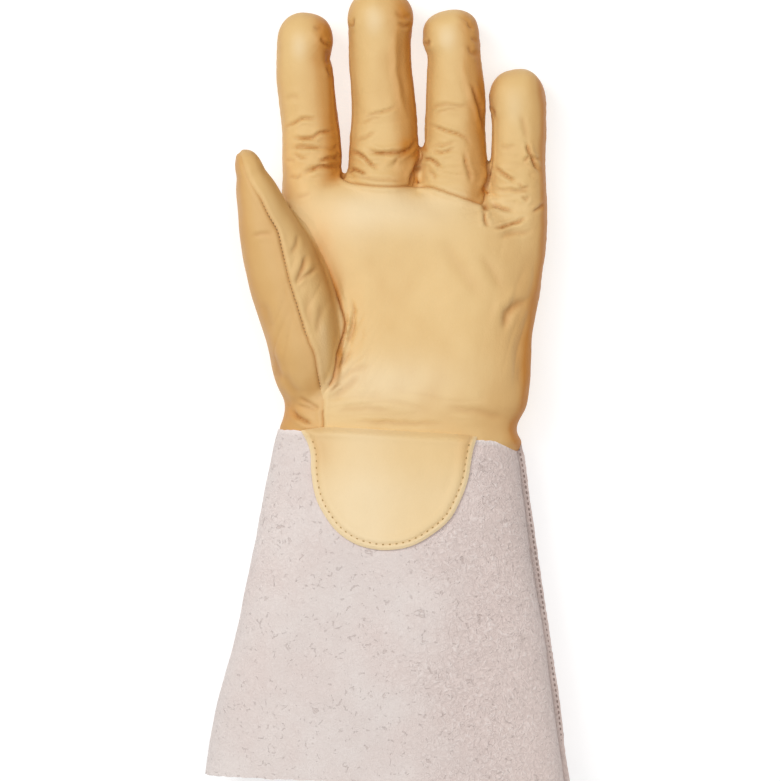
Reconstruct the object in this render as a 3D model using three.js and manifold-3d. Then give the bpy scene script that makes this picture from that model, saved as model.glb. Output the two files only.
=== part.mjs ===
// A leather overglove for the left hand, worn over an insulating rubber glove.
// It lies on its back with the palm up. Millimetres: +X to the little finger, +Y to the fingertips,
// +Z up out of the palm. The origin is under the middle of the glove, on the surface it lies on.
// The hand is grain leather in a gunn cut: one palm panel with the fronts of the index and little
// fingers, separate fronts for the middle and ring fingers, fourchette strips between the fingers,
// a two-piece wing thumb and one back panel. A flared split-leather cuff laps over its lower edge,
// with a rounded grain-leather patch sewn on over the pulse.
import * as THREE from "three";
import { mergeVertices } from "three/addons/utils/BufferGeometryUtils.js";
import Module from "manifold-3d";

const GRAIN_WALL = 1.6; // grain leather of the hand
const SPLIT_WALL = 1.9; // split leather of the cuff
const PATCH_WALL = 1.5;
const SEAM_GAP = 0.3; // between sewn panels
const SIDE_SEAM_Z = 13; // height of the seam between front and back panels
const FOURCHETTE_BACK_Z = 9.5; // lower edge of the strips between the fingers
const FOURCHETTE_FRONT_Z = 21; // and their upper edge
const TOP_Z = 80; // above everything, where the cutters end
const SQUARENESS = 2.5; // exponent of the sections: 2 is an ellipse
const POINTS = { hand: 24, finger: 14, thumb: 14, cuff: 30 }; // corners round a section

// Hand from the hidden edge under the cuff to the knuckles. left and right are X, back and front
// are Z, and tilt is how far a section climbs in Y for each millimetre of X.
const HAND = [
  { y: -29, left: -46.4, right: 52.6, back: 2.4, front: 38.2, tilt: -0.05 },
  { y: -22.4, left: -46.4, right: 53.0, back: 2.4, front: 38.8, tilt: -0.05 },
  { y: -19.2, left: -48.2, right: 57.2, back: 2.0, front: 40.2, tilt: -0.05 },
  { y: -14.5, left: -48.2, right: 58.8, back: 0.8, front: 42.0, tilt: -0.05 },
  { y: -6, left: -47.4, right: 62.6, back: -0.6, front: 42.2, tilt: -0.05 },
  { y: 5, left: -46.6, right: 64.3, back: -1, front: 41.4, tilt: -0.05 },
  { y: 27, left: -46.6, right: 65.6, back: -1, front: 39.4, tilt: -0.05 },
  { y: 41, left: -47.0, right: 67.8, back: -1, front: 38.4, tilt: -0.06 },
  { y: 55, left: -47.2, right: 69.8, back: -1, front: 37.2, tilt: -0.08 },
  { y: 68, left: -47.2, right: 71.2, back: -1, front: 35.6, tilt: -0.1 },
  { y: 78, left: -47.2, right: 71.2, back: -0.5, front: 33.0, tilt: -0.13 },
  { y: 86, left: -46.0, right: 69.6, back: 1, front: 29.0, tilt: -0.15 },
  { y: 91, left: -41.0, right: 64.0, back: 5, front: 24.0, tilt: -0.16 },
];

// Fingers: the middle of each section, its width w across the hand and its height h. dome is the
// length of the rounded tip beyond the last row.
const FINGERS = {
  index: {
    dome: 13.2,
    rows: [
      { x: -33.8, y: 58, z: 17.5, w: 25.0, h: 27.0 },
      { x: -33.8, y: 76, z: 17.0, w: 26.6, h: 28.5 },
      { x: -33.8, y: 88, z: 16.6, w: 27.0, h: 28.0 },
      { x: -33.8, y: 95, z: 16.2, w: 26.6, h: 26.6 },
      { x: -34.1, y: 103, z: 16.0, w: 27.2, h: 27.0 },
      { x: -34.8, y: 111, z: 16.0, w: 26.4, h: 25.8 },
      { x: -35.5, y: 120, z: 16.0, w: 26.2, h: 26.0 },
      { x: -36.6, y: 131, z: 16.4, w: 25.8, h: 25.4 },
      { x: -37.5, y: 141, z: 17.0, w: 25.0, h: 24.8 },
      { x: -38.2, y: 149, z: 17.6, w: 24.2, h: 24.4 },
      { x: -37.6, y: 156, z: 18.4, w: 25.8, h: 25.0 },
    ],
  },
  middle: {
    dome: 14,
    rows: [
      { x: -4.0, y: 58, z: 17.8, w: 29.0, h: 27.0 },
      { x: -3.6, y: 76, z: 17.2, w: 31.4, h: 29.0 },
      { x: -3.6, y: 90, z: 16.8, w: 32.4, h: 28.8 },
      { x: -2.2, y: 100, z: 16.4, w: 32.6, h: 27.4 },
      { x: -1.9, y: 107, z: 16.4, w: 31.8, h: 28.0 },
      { x: -1.8, y: 114, z: 16.4, w: 30.2, h: 26.8 },
      { x: -1.9, y: 124, z: 16.6, w: 29.0, h: 26.8 },
      { x: -2.5, y: 136, z: 17.0, w: 28.2, h: 26.0 },
      { x: -3.3, y: 148, z: 17.6, w: 27.8, h: 25.6 },
      { x: -3.6, y: 158, z: 18.4, w: 28.4, h: 25.6 },
      { x: -3.4, y: 165.5, z: 19.0, w: 30.4, h: 26.4 },
    ],
  },
  ring: {
    dome: 13.2,
    rows: [
      { x: 25.6, y: 52, z: 17.6, w: 27.0, h: 26.6 },
      { x: 27.0, y: 70, z: 17.0, w: 29.0, h: 28.4 },
      { x: 28.2, y: 84, z: 16.6, w: 30.6, h: 28.0 },
      { x: 29.4, y: 93, z: 16.2, w: 30.4, h: 26.8 },
      { x: 29.9, y: 101, z: 16.2, w: 28.6, h: 27.4 },
      { x: 30.2, y: 108, z: 16.2, w: 27.8, h: 26.2 },
      { x: 30.5, y: 120, z: 16.4, w: 27.0, h: 26.2 },
      { x: 30.3, y: 131, z: 16.8, w: 26.3, h: 25.6 },
      { x: 30.0, y: 142, z: 17.4, w: 26.0, h: 25.0 },
      { x: 29.4, y: 151, z: 18.0, w: 25.2, h: 25.0 },
      { x: 27.9, y: 157, z: 18.6, w: 26.8, h: 25.4 },
    ],
  },
  little: {
    dome: 12.4,
    rows: [
      { x: 55.6, y: 40, z: 16.8, w: 24.0, h: 25.0 },
      { x: 56.8, y: 56, z: 16.2, w: 26.0, h: 26.6 },
      { x: 57.8, y: 70, z: 15.8, w: 27.2, h: 26.6 },
      { x: 58.2, y: 80, z: 15.4, w: 26.2, h: 25.2 },
      { x: 58.4, y: 89, z: 15.4, w: 25.8, h: 25.6 },
      { x: 58.4, y: 98, z: 15.4, w: 24.8, h: 24.4 },
      { x: 58.8, y: 108, z: 15.6, w: 24.6, h: 24.4 },
      { x: 59.0, y: 118, z: 16.2, w: 24.8, h: 24.0 },
      { x: 58.4, y: 125, z: 16.8, w: 25.4, h: 23.8 },
      { x: 58.2, y: 130.5, z: 17.4, w: 24.9, h: 23.8 },
    ],
  },
};

// Thumb: it leaves the palm on the index side and points up in front of it.
const THUMB = {
  dome: 11.2,
  rows: [
    { x: -27.0, y: -10, z: 18.0, w: 20.0, h: 24.0 },
    { x: -35.0, y: 4, z: 23.0, w: 30.6, h: 36.0 },
    { x: -37.6, y: 17, z: 27.0, w: 32.0, h: 41.0 },
    { x: -39.8, y: 29, z: 29.6, w: 33.6, h: 41.0 },
    { x: -43.6, y: 42, z: 32.0, w: 34.6, h: 39.6 },
    { x: -48.2, y: 55, z: 34.4, w: 32.6, h: 38.0 },
    { x: -52.4, y: 67, z: 37.0, w: 28.6, h: 35.6 },
    { x: -56.1, y: 79, z: 39.4, w: 23.2, h: 32.6 },
    { x: -59.4, y: 89, z: 41.2, w: 17.8, h: 29.0 },
    { x: -61.4, y: 95.5, z: 42.0, w: 12.8, h: 25.0 },
  ],
};

// Cuff from its raw top edge to the hem.
const CUFF = [
  { y: -21.9, left: -49.0, right: 56.4, back: -1, front: 43.6, tilt: -0.052 },
  { y: -29, left: -50.8, right: 58.3, back: -1, front: 44.6, tilt: -0.052 },
  { y: -45, left: -54.2, right: 60.8, back: -1, front: 46.6, tilt: -0.048 },
  { y: -68, left: -58.8, right: 64.1, back: -1, front: 49.4, tilt: -0.046 },
  { y: -92, left: -63.6, right: 67.6, back: -1, front: 52.2, tilt: -0.043 },
  { y: -118, left: -69.5, right: 71.4, back: -1, front: 55.4, tilt: -0.04 },
  { y: -142, left: -75.6, right: 74.9, back: -1, front: 58.2, tilt: -0.037 },
  { y: -162, left: -80.1, right: 77.0, back: -1, front: 60.2, tilt: -0.034 },
  { y: -176.6, left: -82.1, right: 79.3, back: -1, front: 61.2, tilt: -0.033 },
];
const HEM_WAVE = { height: 1.1, turns: 5, phase: 0.8, above: -60 }; // ruffle that grows to the hem
const FLANGE = { width: 2.8 }; // where the two edges of the cuff are sewn together

// Broad dents and swells of the leather: a depth at x, y that fades over rx and ry. side 1 is the
// palm side and -1 the back. A negative depth swells.
const DENTS = [
  { name: "palm hollow", x: 8, y: 44, rx: 26, ry: 24, depth: 3.2, side: 1 },
  { name: "thumb root fold", x: -19, y: 24, rx: 6, ry: 22, depth: 4.5, side: 1 },
  { name: "heel of the hand", x: 42, y: 18, rx: 18, ry: 26, depth: -1.6, side: 1 },
  { name: "knuckle pad", x: 6, y: 74, rx: 34, ry: 9, depth: -1.2, side: 1 },
  { name: "little finger side", x: 62, y: 62, rx: 8, ry: 16, depth: 1.2, side: 1 },
  { name: "wrist crease", x: 18, y: -16, rx: 60, ry: 4, depth: 1.0, side: 1 },
];

// Seams that show on the palm side, as X and Y.
const SEAMS = {
  thumbRidge: [
    [-70, 110], [-66, 104], [-62.6, 93.6], [-57.6, 85], [-53, 76], [-49.1, 69], [-46.8, 59],
    [-43.7, 46], [-39.6, 33], [-36.5, 23], [-32.9, 14], [-31.1, 3.6], [-29.3, -4.5],
    [-27.5, -11], [-27.5, -20], [-27.5, -34],
  ],
  thumbRoot: [
    [-54, 96], [-46.8, 88], [-41.9, 80.6], [-35.2, 70], [-31, 61.7], [-26.6, 52], [-23, 42],
    [-20.3, 33.3], [-19.4, 27.5], [-21.6, 18.5], [-24.8, 10.8], [-27.9, 1], [-29.2, -4.4],
  ],
  fingerBase: [
    [-19.3, 112], [-19.6, 103], [-20.6, 96], [-18.4, 92.4], [-8.1, 90.5], [3.2, 90], [11, 90.4],
    [18.9, 90], [27.9, 87], [36.9, 83.6], [41.6, 82], [43.6, 85], [44.4, 93], [44.6, 112],
  ],
  middleToRing: [[11.4, 90.4], [12.6, 96], [14.4, 104], [15, 118]],
};

// Where each fourchette strip is cut: the two fingers it joins, the X of the gap and the Y of its
// lower end.
const FOURCHETTES = [
  { name: "fourchette_index_middle", from: "index", to: "middle", gap: -19.6, low: 88 },
  { name: "fourchette_middle_ring", from: "middle", to: "ring", gap: 14.4, low: 88 },
  { name: "fourchette_ring_little", from: "ring", to: "little", gap: 44.6, low: 79 },
];
const STRIP_END = 4; // how far below a finger's last row its strip ends

// Outline of the pulse patch on the cuff.
const PATCH_OUTLINE = [
  [-39.2, -19.6], [-36, -25.4], [-34.6, -31], [-34.4, -38], [-32.9, -47.6], [-29.7, -55.4],
  [-23.2, -64.4], [-15.2, -70], [-6.4, -72.6], [1.6, -72.9], [10.4, -71.2], [19.2, -66.5],
  [27.4, -59.6], [32.4, -50.9], [35.8, -41.8], [37.2, -33.6], [38.4, -27.6], [40.1, -22.4],
  [24, -20.6], [5, -19.4], [-12, -18.2], [-27.5, -18],
];

const wasm = await Module();
wasm.setup();

// A closed geometry as a solid that can be joined and cut, with corners closer than apart made one.
function solid(geometry, apart = 1e-4) {
  const bare = geometry.clone();
  bare.deleteAttribute("normal");
  bare.deleteAttribute("uv");
  const merged = mergeVertices(bare, apart);
  return new wasm.Manifold(
    new wasm.Mesh({
      numProp: 3,
      vertProperties: merged.attributes.position.array,
      triVerts: new Uint32Array(merged.index.array),
    }),
  );
}

// A solid back as a geometry with flat faces.
function geometryOf(body) {
  const mesh = body.getMesh();
  const geometry = new THREE.BufferGeometry();
  geometry.setAttribute("position", new THREE.BufferAttribute(mesh.vertProperties, 3));
  geometry.setIndex(new THREE.BufferAttribute(mesh.triVerts, 1));
  return geometry;
}

// A closed tube through rings of points, with a fan over each end.
function loft(rings) {
  const count = rings[0].length;
  const points = rings.flat();
  const faces = [];
  for (let r = 0; r + 1 < rings.length; r++) {
    for (let i = 0; i < count; i++) {
      const next = (i + 1) % count;
      const [a, b] = [r * count + i, r * count + next];
      faces.push(a, b + count, b, a, a + count, b + count);
    }
  }
  for (const [ring, turn] of [[0, 1], [rings.length - 1, -1]]) {
    const middle = new THREE.Vector3();
    rings[ring].forEach((p) => middle.addScaledVector(p, 1 / count));
    points.push(middle);
    for (let i = 0; i < count; i++) {
      const [a, b] = [ring * count + i, ring * count + ((i + 1) % count)];
      faces.push(points.length - 1, ...(turn > 0 ? [a, b] : [b, a]));
    }
  }
  return solid(new THREE.BufferGeometry().setFromPoints(points).setIndex(faces));
}

// A point of the unit section at an angle: a rounded oval, a little squarer than an ellipse.
function onOval(angle) {
  const bend = (v) => Math.sign(v) * Math.abs(v) ** (2 / SQUARENESS);
  return [bend(Math.cos(angle)), bend(Math.sin(angle))];
}

// How far the dents push the leather at a point, on the palm side or the back.
function dent(x, y, side) {
  let depth = 0;
  for (const d of DENTS) {
    if (d.side === side) depth += d.depth * Math.exp(-(((x - d.x) / d.rx) ** 2) - ((y - d.y) / d.ry) ** 2);
  }
  return depth;
}

// Rings across the hand or cuff, inset by a wall. What would lie under the floor is flat on it.
function acrossRings(rows, count, inset, wave) {
  return rows.map((row) => {
    const ring = [];
    const [x0, z0] = [(row.left + row.right) / 2, (row.back + row.front) / 2];
    const [w, h] = [(row.right - row.left) / 2 - inset, (row.front - row.back) / 2 - inset];
    const ruffle = wave && row.y < wave.above ? (wave.above - row.y) / (wave.above - rows.at(-1).y) : 0;
    for (let i = 0; i < count; i++) {
      const angle = (2 * Math.PI * i) / count;
      const [u, v] = onOval(angle);
      const push = ruffle * (wave ? wave.height * Math.sin(wave.turns * angle + wave.phase) : 0);
      const x = x0 + w * u;
      let z = z0 + (h + push) * v;
      z -= wave ? 0 : Math.max(v, 0) * dent(x, row.y, 1);
      ring.push(new THREE.Vector3(x, row.y + row.tilt * (x - x0), Math.max(z, Math.max(inset, 0))));
    }
    return ring;
  });
}

// Rings square to the line through a finger's sections, inset by a wall, with a rounded tip.
function limbRings({ rows, dome }, count, inset) {
  const centres = rows.map((r) => new THREE.Vector3(r.x, r.y, r.z));
  const up = new THREE.Vector3(0, 0, 1);
  const ringAt = (centre, along, w, h) => {
    const side = new THREE.Vector3().crossVectors(along, up).normalize();
    const front = new THREE.Vector3().crossVectors(side, along);
    return Array.from({ length: count }, (_, i) => {
      const [u, v] = onOval((2 * Math.PI * i) / count);
      return centre.clone().addScaledVector(side, u * w).addScaledVector(front, v * h);
    });
  };
  const rings = rows.map((row, i) => {
    const before = centres[Math.max(i - 1, 0)];
    const after = centres[Math.min(i + 1, rows.length - 1)];
    const along = after.clone().sub(before).normalize();
    return ringAt(centres[i], along, row.w / 2 - inset, row.h / 2 - inset);
  });
  const last = rows.at(-1);
  const along = centres.at(-1).clone().sub(centres.at(-2)).normalize();
  for (const degrees of [28, 54, 76]) {
    const turn = THREE.MathUtils.degToRad(degrees);
    const centre = centres.at(-1).clone().addScaledVector(along, (dome - inset) * Math.sin(turn));
    const shrink = Math.cos(turn);
    rings.push(ringAt(centre, along, (last.w / 2 - inset) * shrink, (last.h / 2 - inset) * shrink));
  }
  return rings;
}

// A solid over an outline in the plane of the palm, between two heights.
function prism(outline, low, high) {
  const shape = new THREE.Shape(outline.map(([x, y]) => new THREE.Vector2(x, y)));
  const geometry = new THREE.ExtrudeGeometry(shape, { depth: high - low, bevelEnabled: false });
  return solid(geometry.translate(0, 0, low));
}

// A thin upright sheet along a seam, which parts the leather there.
function seamCut(points) {
  const curve = new THREE.SplineCurve(points.map(([x, y]) => new THREE.Vector2(x, y)));
  const line = curve.getPoints(points.length * 2);
  const edge = (side) =>
    line.map((p, i) => {
      const along = line[Math.min(i + 1, line.length - 1)].clone().sub(line[Math.max(i - 1, 0)]).normalize();
      return [p.x - (side * along.y * SEAM_GAP) / 2, p.y + (side * along.x * SEAM_GAP) / 2];
    });
  return prism([...edge(-1), ...edge(1).reverse()], SIDE_SEAM_Z - 1, TOP_Z);
}

// The hollow hand: everything outside less everything inside. The inside is open at the wrist and
// stops a wall short of the webs between the fingers.
function handShell() {
  const body = (inset) => {
    const [first, web] = [HAND[0], HAND.at(-1)];
    const rows = inset ? [{ ...first, y: first.y - 6 }, ...HAND.slice(1, -1), { ...web, y: web.y - inset }] : HAND;
    let whole = loft(acrossRings(rows, POINTS.hand, inset));
    for (const finger of Object.values(FINGERS)) {
      whole = whole.add(loft(limbRings(finger, POINTS.finger, inset)));
    }
    return whole.add(loft(limbRings(THUMB, POINTS.thumb, inset)));
  };
  return body(0).subtract(body(GRAIN_WALL));
}

// Solid that a fourchette strip fills between two fingers, grown on all sides by an allowance: up
// the inside of one finger, across the gap and down the inside of the next.
function stripSpace(strip, grow) {
  const inside = (finger, sign) => {
    const rows = FINGERS[finger].rows.filter((r) => r.y > strip.low - 6);
    const end = rows.at(-1).y - STRIP_END + grow;
    const line = rows.filter((r) => r.y > strip.low && r.y < end).map((r) => [r.x + sign * (2 - grow), r.y]);
    const foot = [rows[0].x + sign * (2 - grow), strip.low - grow];
    return { end, line: [foot, ...line, [line.at(-1)[0], end]] };
  };
  const [one, other] = [inside(strip.from, 1), inside(strip.to, -1)];
  const outline = [...one.line, [strip.gap, one.end], [strip.gap, other.end], ...other.line.reverse()];
  return prism(outline, FOURCHETTE_BACK_Z - grow, FOURCHETTE_FRONT_Z + grow);
}

function largest(bodies) {
  return bodies.sort((a, b) => b.volume() - a.volume())[0];
}

// The body that holds leather right above or below a place on the palm.
function bodyAt(bodies, [x, y]) {
  const column = prism([[x - 1, y - 1], [x + 1, y - 1], [x + 1, y + 1], [x - 1, y + 1]], 0, TOP_Z);
  return bodies.find((b) => b.intersect(column).volume() > 1);
}

const group = new THREE.Group();
const GRAIN = { color: 0xe3bf84, roughness: 0.5, metalness: 0 };
const SUEDE = { color: 0xdfd3cd, roughness: 0.95, metalness: 0 };

// A piece without the crumbs and slivers that a cut leaves at a seam.
function addPiece(name, body, finish) {
  const clean = largest(solid(geometryOf(largest(body.decompose())), 1e-3).decompose());
  const mesh = new THREE.Mesh(geometryOf(clean), new THREE.MeshStandardMaterial(finish));
  mesh.name = name;
  group.add(mesh);
}

// Hand: the strips between the fingers first, then the back, then the fronts along their seams.
let hand = handShell();
for (const strip of FOURCHETTES) {
  addPiece(strip.name, hand.intersect(stripSpace(strip, 0)), GRAIN);
  hand = hand.subtract(stripSpace(strip, SEAM_GAP));
}
const everywhere = [[-120, -200], [120, -200], [120, 200], [-120, 200]];
const back = hand.intersect(prism(everywhere, -1, SIDE_SEAM_Z - SEAM_GAP / 2));
addPiece("hand_back", back, GRAIN);
let front = hand.intersect(prism(everywhere, SIDE_SEAM_Z + SEAM_GAP / 2, TOP_Z));
for (const seam of Object.values(SEAMS)) front = front.subtract(seamCut(seam));
const fronts = front.decompose();
const FRONT_PANELS = {
  palm_panel: [30, 30],
  middle_finger_front: [-3, 130],
  ring_finger_front: [30, 130],
  thumb_inner: [-36, 45],
  thumb_outer: [-56, 50],
};
for (const [name, place] of Object.entries(FRONT_PANELS)) addPiece(name, bodyAt(fronts, place), GRAIN);

// Cuff: one piece of split leather folded round, its two edges sewn together in a flange on the
// little finger side, with a slit between them.
function cuff() {
  const opened = CUFF.map((row, i) => ({ ...row, y: row.y + (i ? (i === CUFF.length - 1 ? -6 : 0) : 6) }));
  let wall = loft(acrossRings(CUFF, POINTS.cuff, 0, HEM_WAVE).reverse());
  wall = wall.subtract(loft(acrossRings(opened, POINTS.cuff, SPLIT_WALL, HEM_WAVE).reverse()));
  const strip = (low, high, inner, outer) =>
    loft(
      CUFF.map((row) => {
        const z = (row.back + row.front) / 2;
        const [a, b] = [row.right - inner, row.right + outer];
        const y = (x) => row.y + row.tilt * (x - (row.left + row.right) / 2);
        return [[b, low], [b, high], [a, high], [a, low]].map(([x, dz]) => new THREE.Vector3(x, y(x), z + dz));
      }).reverse(),
    );
  const half = SPLIT_WALL + SEAM_GAP / 2;
  wall = wall.add(strip(-half, half, SPLIT_WALL * 0.7, FLANGE.width));
  return wall.subtract(strip(-SEAM_GAP / 2, SEAM_GAP / 2, 3 * SPLIT_WALL, FLANGE.width + 1));
}
addPiece("cuff", cuff(), SUEDE);

// Pulse patch: a sheet on the palm side of the cuff, cut to its outline.
function patch() {
  const longer = [{ ...CUFF[0], y: CUFF[0].y + 4 }, ...CUFF.slice(1)];
  const over = (out) => loft(acrossRings(longer, POINTS.cuff, -out, HEM_WAVE).reverse());
  const sheet = over(SEAM_GAP + PATCH_WALL).subtract(over(SEAM_GAP));
  return sheet.intersect(prism([...PATCH_OUTLINE].reverse(), SIDE_SEAM_Z + 10, TOP_Z));
}
addPiece("pulse_patch", patch(), GRAIN);

export default group;
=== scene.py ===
import math

import bpy
import numpy as np
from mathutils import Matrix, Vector, bvhtree, kdtree, noise


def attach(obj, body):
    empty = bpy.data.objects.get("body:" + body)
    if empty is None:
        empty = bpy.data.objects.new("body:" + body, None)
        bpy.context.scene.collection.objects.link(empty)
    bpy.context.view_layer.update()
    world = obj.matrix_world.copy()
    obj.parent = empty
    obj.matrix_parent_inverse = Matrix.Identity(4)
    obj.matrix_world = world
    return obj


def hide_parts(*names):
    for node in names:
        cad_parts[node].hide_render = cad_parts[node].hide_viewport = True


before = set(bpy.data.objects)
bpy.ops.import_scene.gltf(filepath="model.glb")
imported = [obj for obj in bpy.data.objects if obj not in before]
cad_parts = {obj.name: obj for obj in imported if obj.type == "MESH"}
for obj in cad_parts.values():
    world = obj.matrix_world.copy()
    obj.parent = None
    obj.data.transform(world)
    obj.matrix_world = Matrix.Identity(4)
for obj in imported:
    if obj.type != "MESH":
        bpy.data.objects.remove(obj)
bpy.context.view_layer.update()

bpy.ops.object.select_all(action="DESELECT")

# The glove lies palm up on a pale table. The camera looks straight down on it from far off, under a
# wide soft light from the upper left and a weak one from the right.
bpy.ops.mesh.primitive_plane_add(size=8, location=(0, 0, -0.0004))
table = bpy.context.object
table.name = "table"
table.data.materials.append(bpy.data.materials.new("table_white"))
table.active_material.use_nodes = True
table_shader = table.active_material.node_tree.nodes["Principled BSDF"]
table_shader.inputs["Base Color"].default_value = (0.55, 0.55, 0.55, 1)
table_shader.inputs["Roughness"].default_value = 0.9
table_shader.inputs["Specular IOR Level"].default_value = 0.1
table_shader.inputs["Emission Color"].default_value = (1, 1, 1, 1)
table_shader.inputs["Emission Strength"].default_value = 0.58

CAMERA_HEIGHT = 3.0  # metres above the table
GLOVE_TO_CAMERA = 2.97
PICTURE_WIDTH = 0.351  # metres that the picture spans at that distance
bpy.ops.object.camera_add(location=(0.0009, -0.0017, CAMERA_HEIGHT), rotation=(0, 0, 0))
camera = bpy.context.object
camera.data.sensor_fit = "HORIZONTAL"
camera.data.lens = 36 * GLOVE_TO_CAMERA / PICTURE_WIDTH
camera.data.clip_end = 20
bpy.context.scene.camera = camera
bpy.context.scene.view_settings.view_transform = "Standard"

bpy.ops.object.light_add(type="AREA", location=(-0.95, 0.75, 1.75))
key_light = bpy.context.object
key_light.data.shape = "DISK"
key_light.data.size = 1.0
key_light.data.energy = 17
towards_glove = Vector((0, 0, 0.02)) - key_light.location
key_light.rotation_euler = towards_glove.to_track_quat("-Z", "Y").to_euler()
bpy.ops.object.light_add(type="AREA", location=(0.15, 0.1, 2.2))
top_light = bpy.context.object
top_light.data.size = 1.6
top_light.data.energy = 22
world = bpy.context.scene.world or bpy.data.worlds.new("studio")
bpy.context.scene.world = world
world.use_nodes = True
world.node_tree.nodes["Background"].inputs["Color"].default_value = (1, 1, 1, 1)
world.node_tree.nodes["Background"].inputs["Strength"].default_value = 0.26

# The hand of the glove before it is cut into panels: a body, four fingers and a thumb, each a tube
# through measured sections in millimetres, run together into one smooth form of leather that has
# taken the shape of a hand.
SQUARENESS = 2.5  # how square the sections are, where 2 is an ellipse
HAND = [  # y, left, right, back, front, climb in y for each mm of x
    (-31, -46.4, 54.6, 2.4, 38.6, -0.05),
    (-25.6, -47.2, 58.6, 2.4, 40.0, -0.05),
    (-22.4, -49.2, 60.4, 2.2, 41.6, -0.05),
    (-19.4, -48.5, 58.6, 1.8, 42.6, -0.05),
    (-16.4, -47.5, 57.8, 1.2, 43.0, -0.05),
    (-12.5, -46.7, 58.9, 0.4, 42.8, -0.05),
    (-6, -46.8, 62.2, -0.6, 42.2, -0.05),
    (5, -46.6, 64.3, -1, 41.4, -0.05),
    (16, -46.4, 65.0, -1, 40.4, -0.05),
    (27, -46.6, 65.6, -1, 39.4, -0.05),
    (41, -47.0, 67.8, -1, 38.4, -0.06),
    (55, -47.2, 69.8, -1, 37.2, -0.08),
    (68, -47.2, 71.2, -1, 35.6, -0.10),
    (78, -47.2, 71.2, -0.5, 33.0, -0.13),
    (86, -46.0, 69.6, 1, 29.0, -0.15),
    (91, -41.0, 64.0, 5, 24.0, -0.16),
]
LIMBS = {  # length of the rounded tip, then x, y, z of the middle, width across the hand and height
    "index": (13.2, [
        (-34.2, 58, 17.5, 25.0, 27.0), (-34.2, 76, 17.0, 26.4, 28.5), (-34.2, 88, 16.6, 26.6, 28.0),
        (-34.2, 95, 16.2, 25.8, 26.6), (-34.4, 103, 16.0, 26.6, 27.0), (-34.6, 111, 16.0, 26.2, 25.8),
        (-35.2, 120, 16.0, 25.4, 26.0), (-36.4, 131, 16.4, 25.0, 25.4), (-37.5, 141, 17.0, 25.0, 24.8),
        (-38.5, 148.5, 17.6, 23.2, 24.4), (-37.5, 156, 18.4, 25.2, 25.0)]),
    "middle": (14.0, [
        (-4.0, 58, 17.8, 29.0, 27.0), (-3.4, 76, 17.2, 30.8, 29.0), (-3.0, 90, 16.8, 31.4, 28.8),
        (-1.7, 99, 16.4, 32.0, 27.4), (-1.7, 107, 16.4, 31.2, 28.0), (-1.8, 114, 16.4, 30.2, 26.8),
        (-1.9, 124, 16.6, 29.0, 26.8), (-2.5, 136, 17.0, 28.2, 26.0), (-3.3, 148, 17.6, 27.6, 25.6),
        (-3.6, 158, 18.4, 28.0, 25.6), (-3.4, 165.5, 19.0, 30.6, 26.4)]),
    "ring": (8.4, [
        (25.8, 52, 17.6, 27.0, 26.6), (27.2, 70, 17.0, 28.6, 28.4), (28.4, 84, 16.6, 30.0, 28.0),
        (29.5, 93, 16.2, 31.4, 26.8), (29.6, 101, 16.2, 31.0, 27.4), (29.9, 104.6, 16.2, 30.0, 26.8),
        (30.4, 109, 16.2, 27.6, 26.2), (30.3, 120, 16.4, 26.8, 26.2), (30.5, 131, 16.8, 26.2, 25.6),
        (30.2, 142, 17.4, 25.4, 25.0), (29.8, 151.5, 18.0, 24.0, 25.0), (28.5, 157, 18.6, 25.6, 25.0),
        (27.8, 161.4, 19.0, 24.8, 23.6)]),
    "little": (12.4, [
        (55.8, 40, 16.8, 24.0, 25.0), (57.0, 56, 16.2, 26.0, 26.6), (58.0, 70, 15.8, 26.8, 26.6),
        (58.2, 80, 15.4, 26.4, 25.2), (58.4, 89, 15.4, 25.9, 25.6), (58.5, 98, 15.4, 24.9, 24.4),
        (58.8, 108, 15.6, 23.8, 24.4), (59.1, 117, 16.2, 24.0, 24.0), (59.3, 122, 16.6, 23.6, 23.6),
        (59.0, 126.5, 17.0, 24.5, 23.8), (58.4, 131, 17.4, 24.3, 23.8)]),
    "thumb": (11.2, [
        (-27.0, -10, 18.0, 20.0, 24.0), (-35.0, 4, 23.0, 30.6, 36.0), (-37.6, 17, 27.0, 32.0, 41.0),
        (-39.8, 29, 29.6, 33.6, 41.0), (-43.6, 42, 32.0, 34.6, 39.6), (-48.2, 55, 34.4, 32.6, 38.0),
        (-52.4, 67, 37.0, 28.6, 35.6), (-56.1, 79, 39.4, 23.2, 32.6), (-59.4, 89, 41.2, 17.8, 29.0),
        (-61.4, 95.5, 42.0, 12.8, 25.0)]),
}
DENTS = [  # x, y, reach in x, reach in y, depth (a swell is negative), 1 palm side or -1 back
    (8, 44, 26, 24, 3.2, 1), (-19, 24, 6, 22, 4.5, 1), (42, 18, 18, 26, -1.6, 1),
    (6, 74, 34, 9, -1.2, 1), (62, 62, 8, 16, 1.2, 1), (18, -16, 60, 4, 1.0, 1),
]


def filled_in(rows, steps):
    """Rows of numbers with smooth ones put in between."""
    rows = np.array(rows, float)
    made = []
    for i in range(len(rows) - 1):
        a, b = rows[i], rows[i + 1]
        slope_a = (b - rows[max(i - 1, 0)]) / (2 if i else 1)
        slope_b = (rows[min(i + 2, len(rows) - 1)] - a) / (2 if i + 2 < len(rows) else 1)
        for t in np.arange(steps) / steps:
            made.append((2 * t**3 - 3 * t**2 + 1) * a + (t**3 - 2 * t**2 + t) * slope_a
                        + (3 * t**2 - 2 * t**3) * b + (t**3 - t**2) * slope_b)
    return np.array(made + [rows[-1]])


def oval(count):
    """Points round a unit section that is a little squarer than an ellipse, and their angles."""
    turn = 2 * np.pi * np.arange(count) / count
    c, s = np.cos(turn), np.sin(turn)
    size = (np.abs(c)**SQUARENESS + np.abs(s)**SQUARENESS)**(-1 / SQUARENESS)
    return np.stack([c * size, s * size], 1), turn


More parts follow.
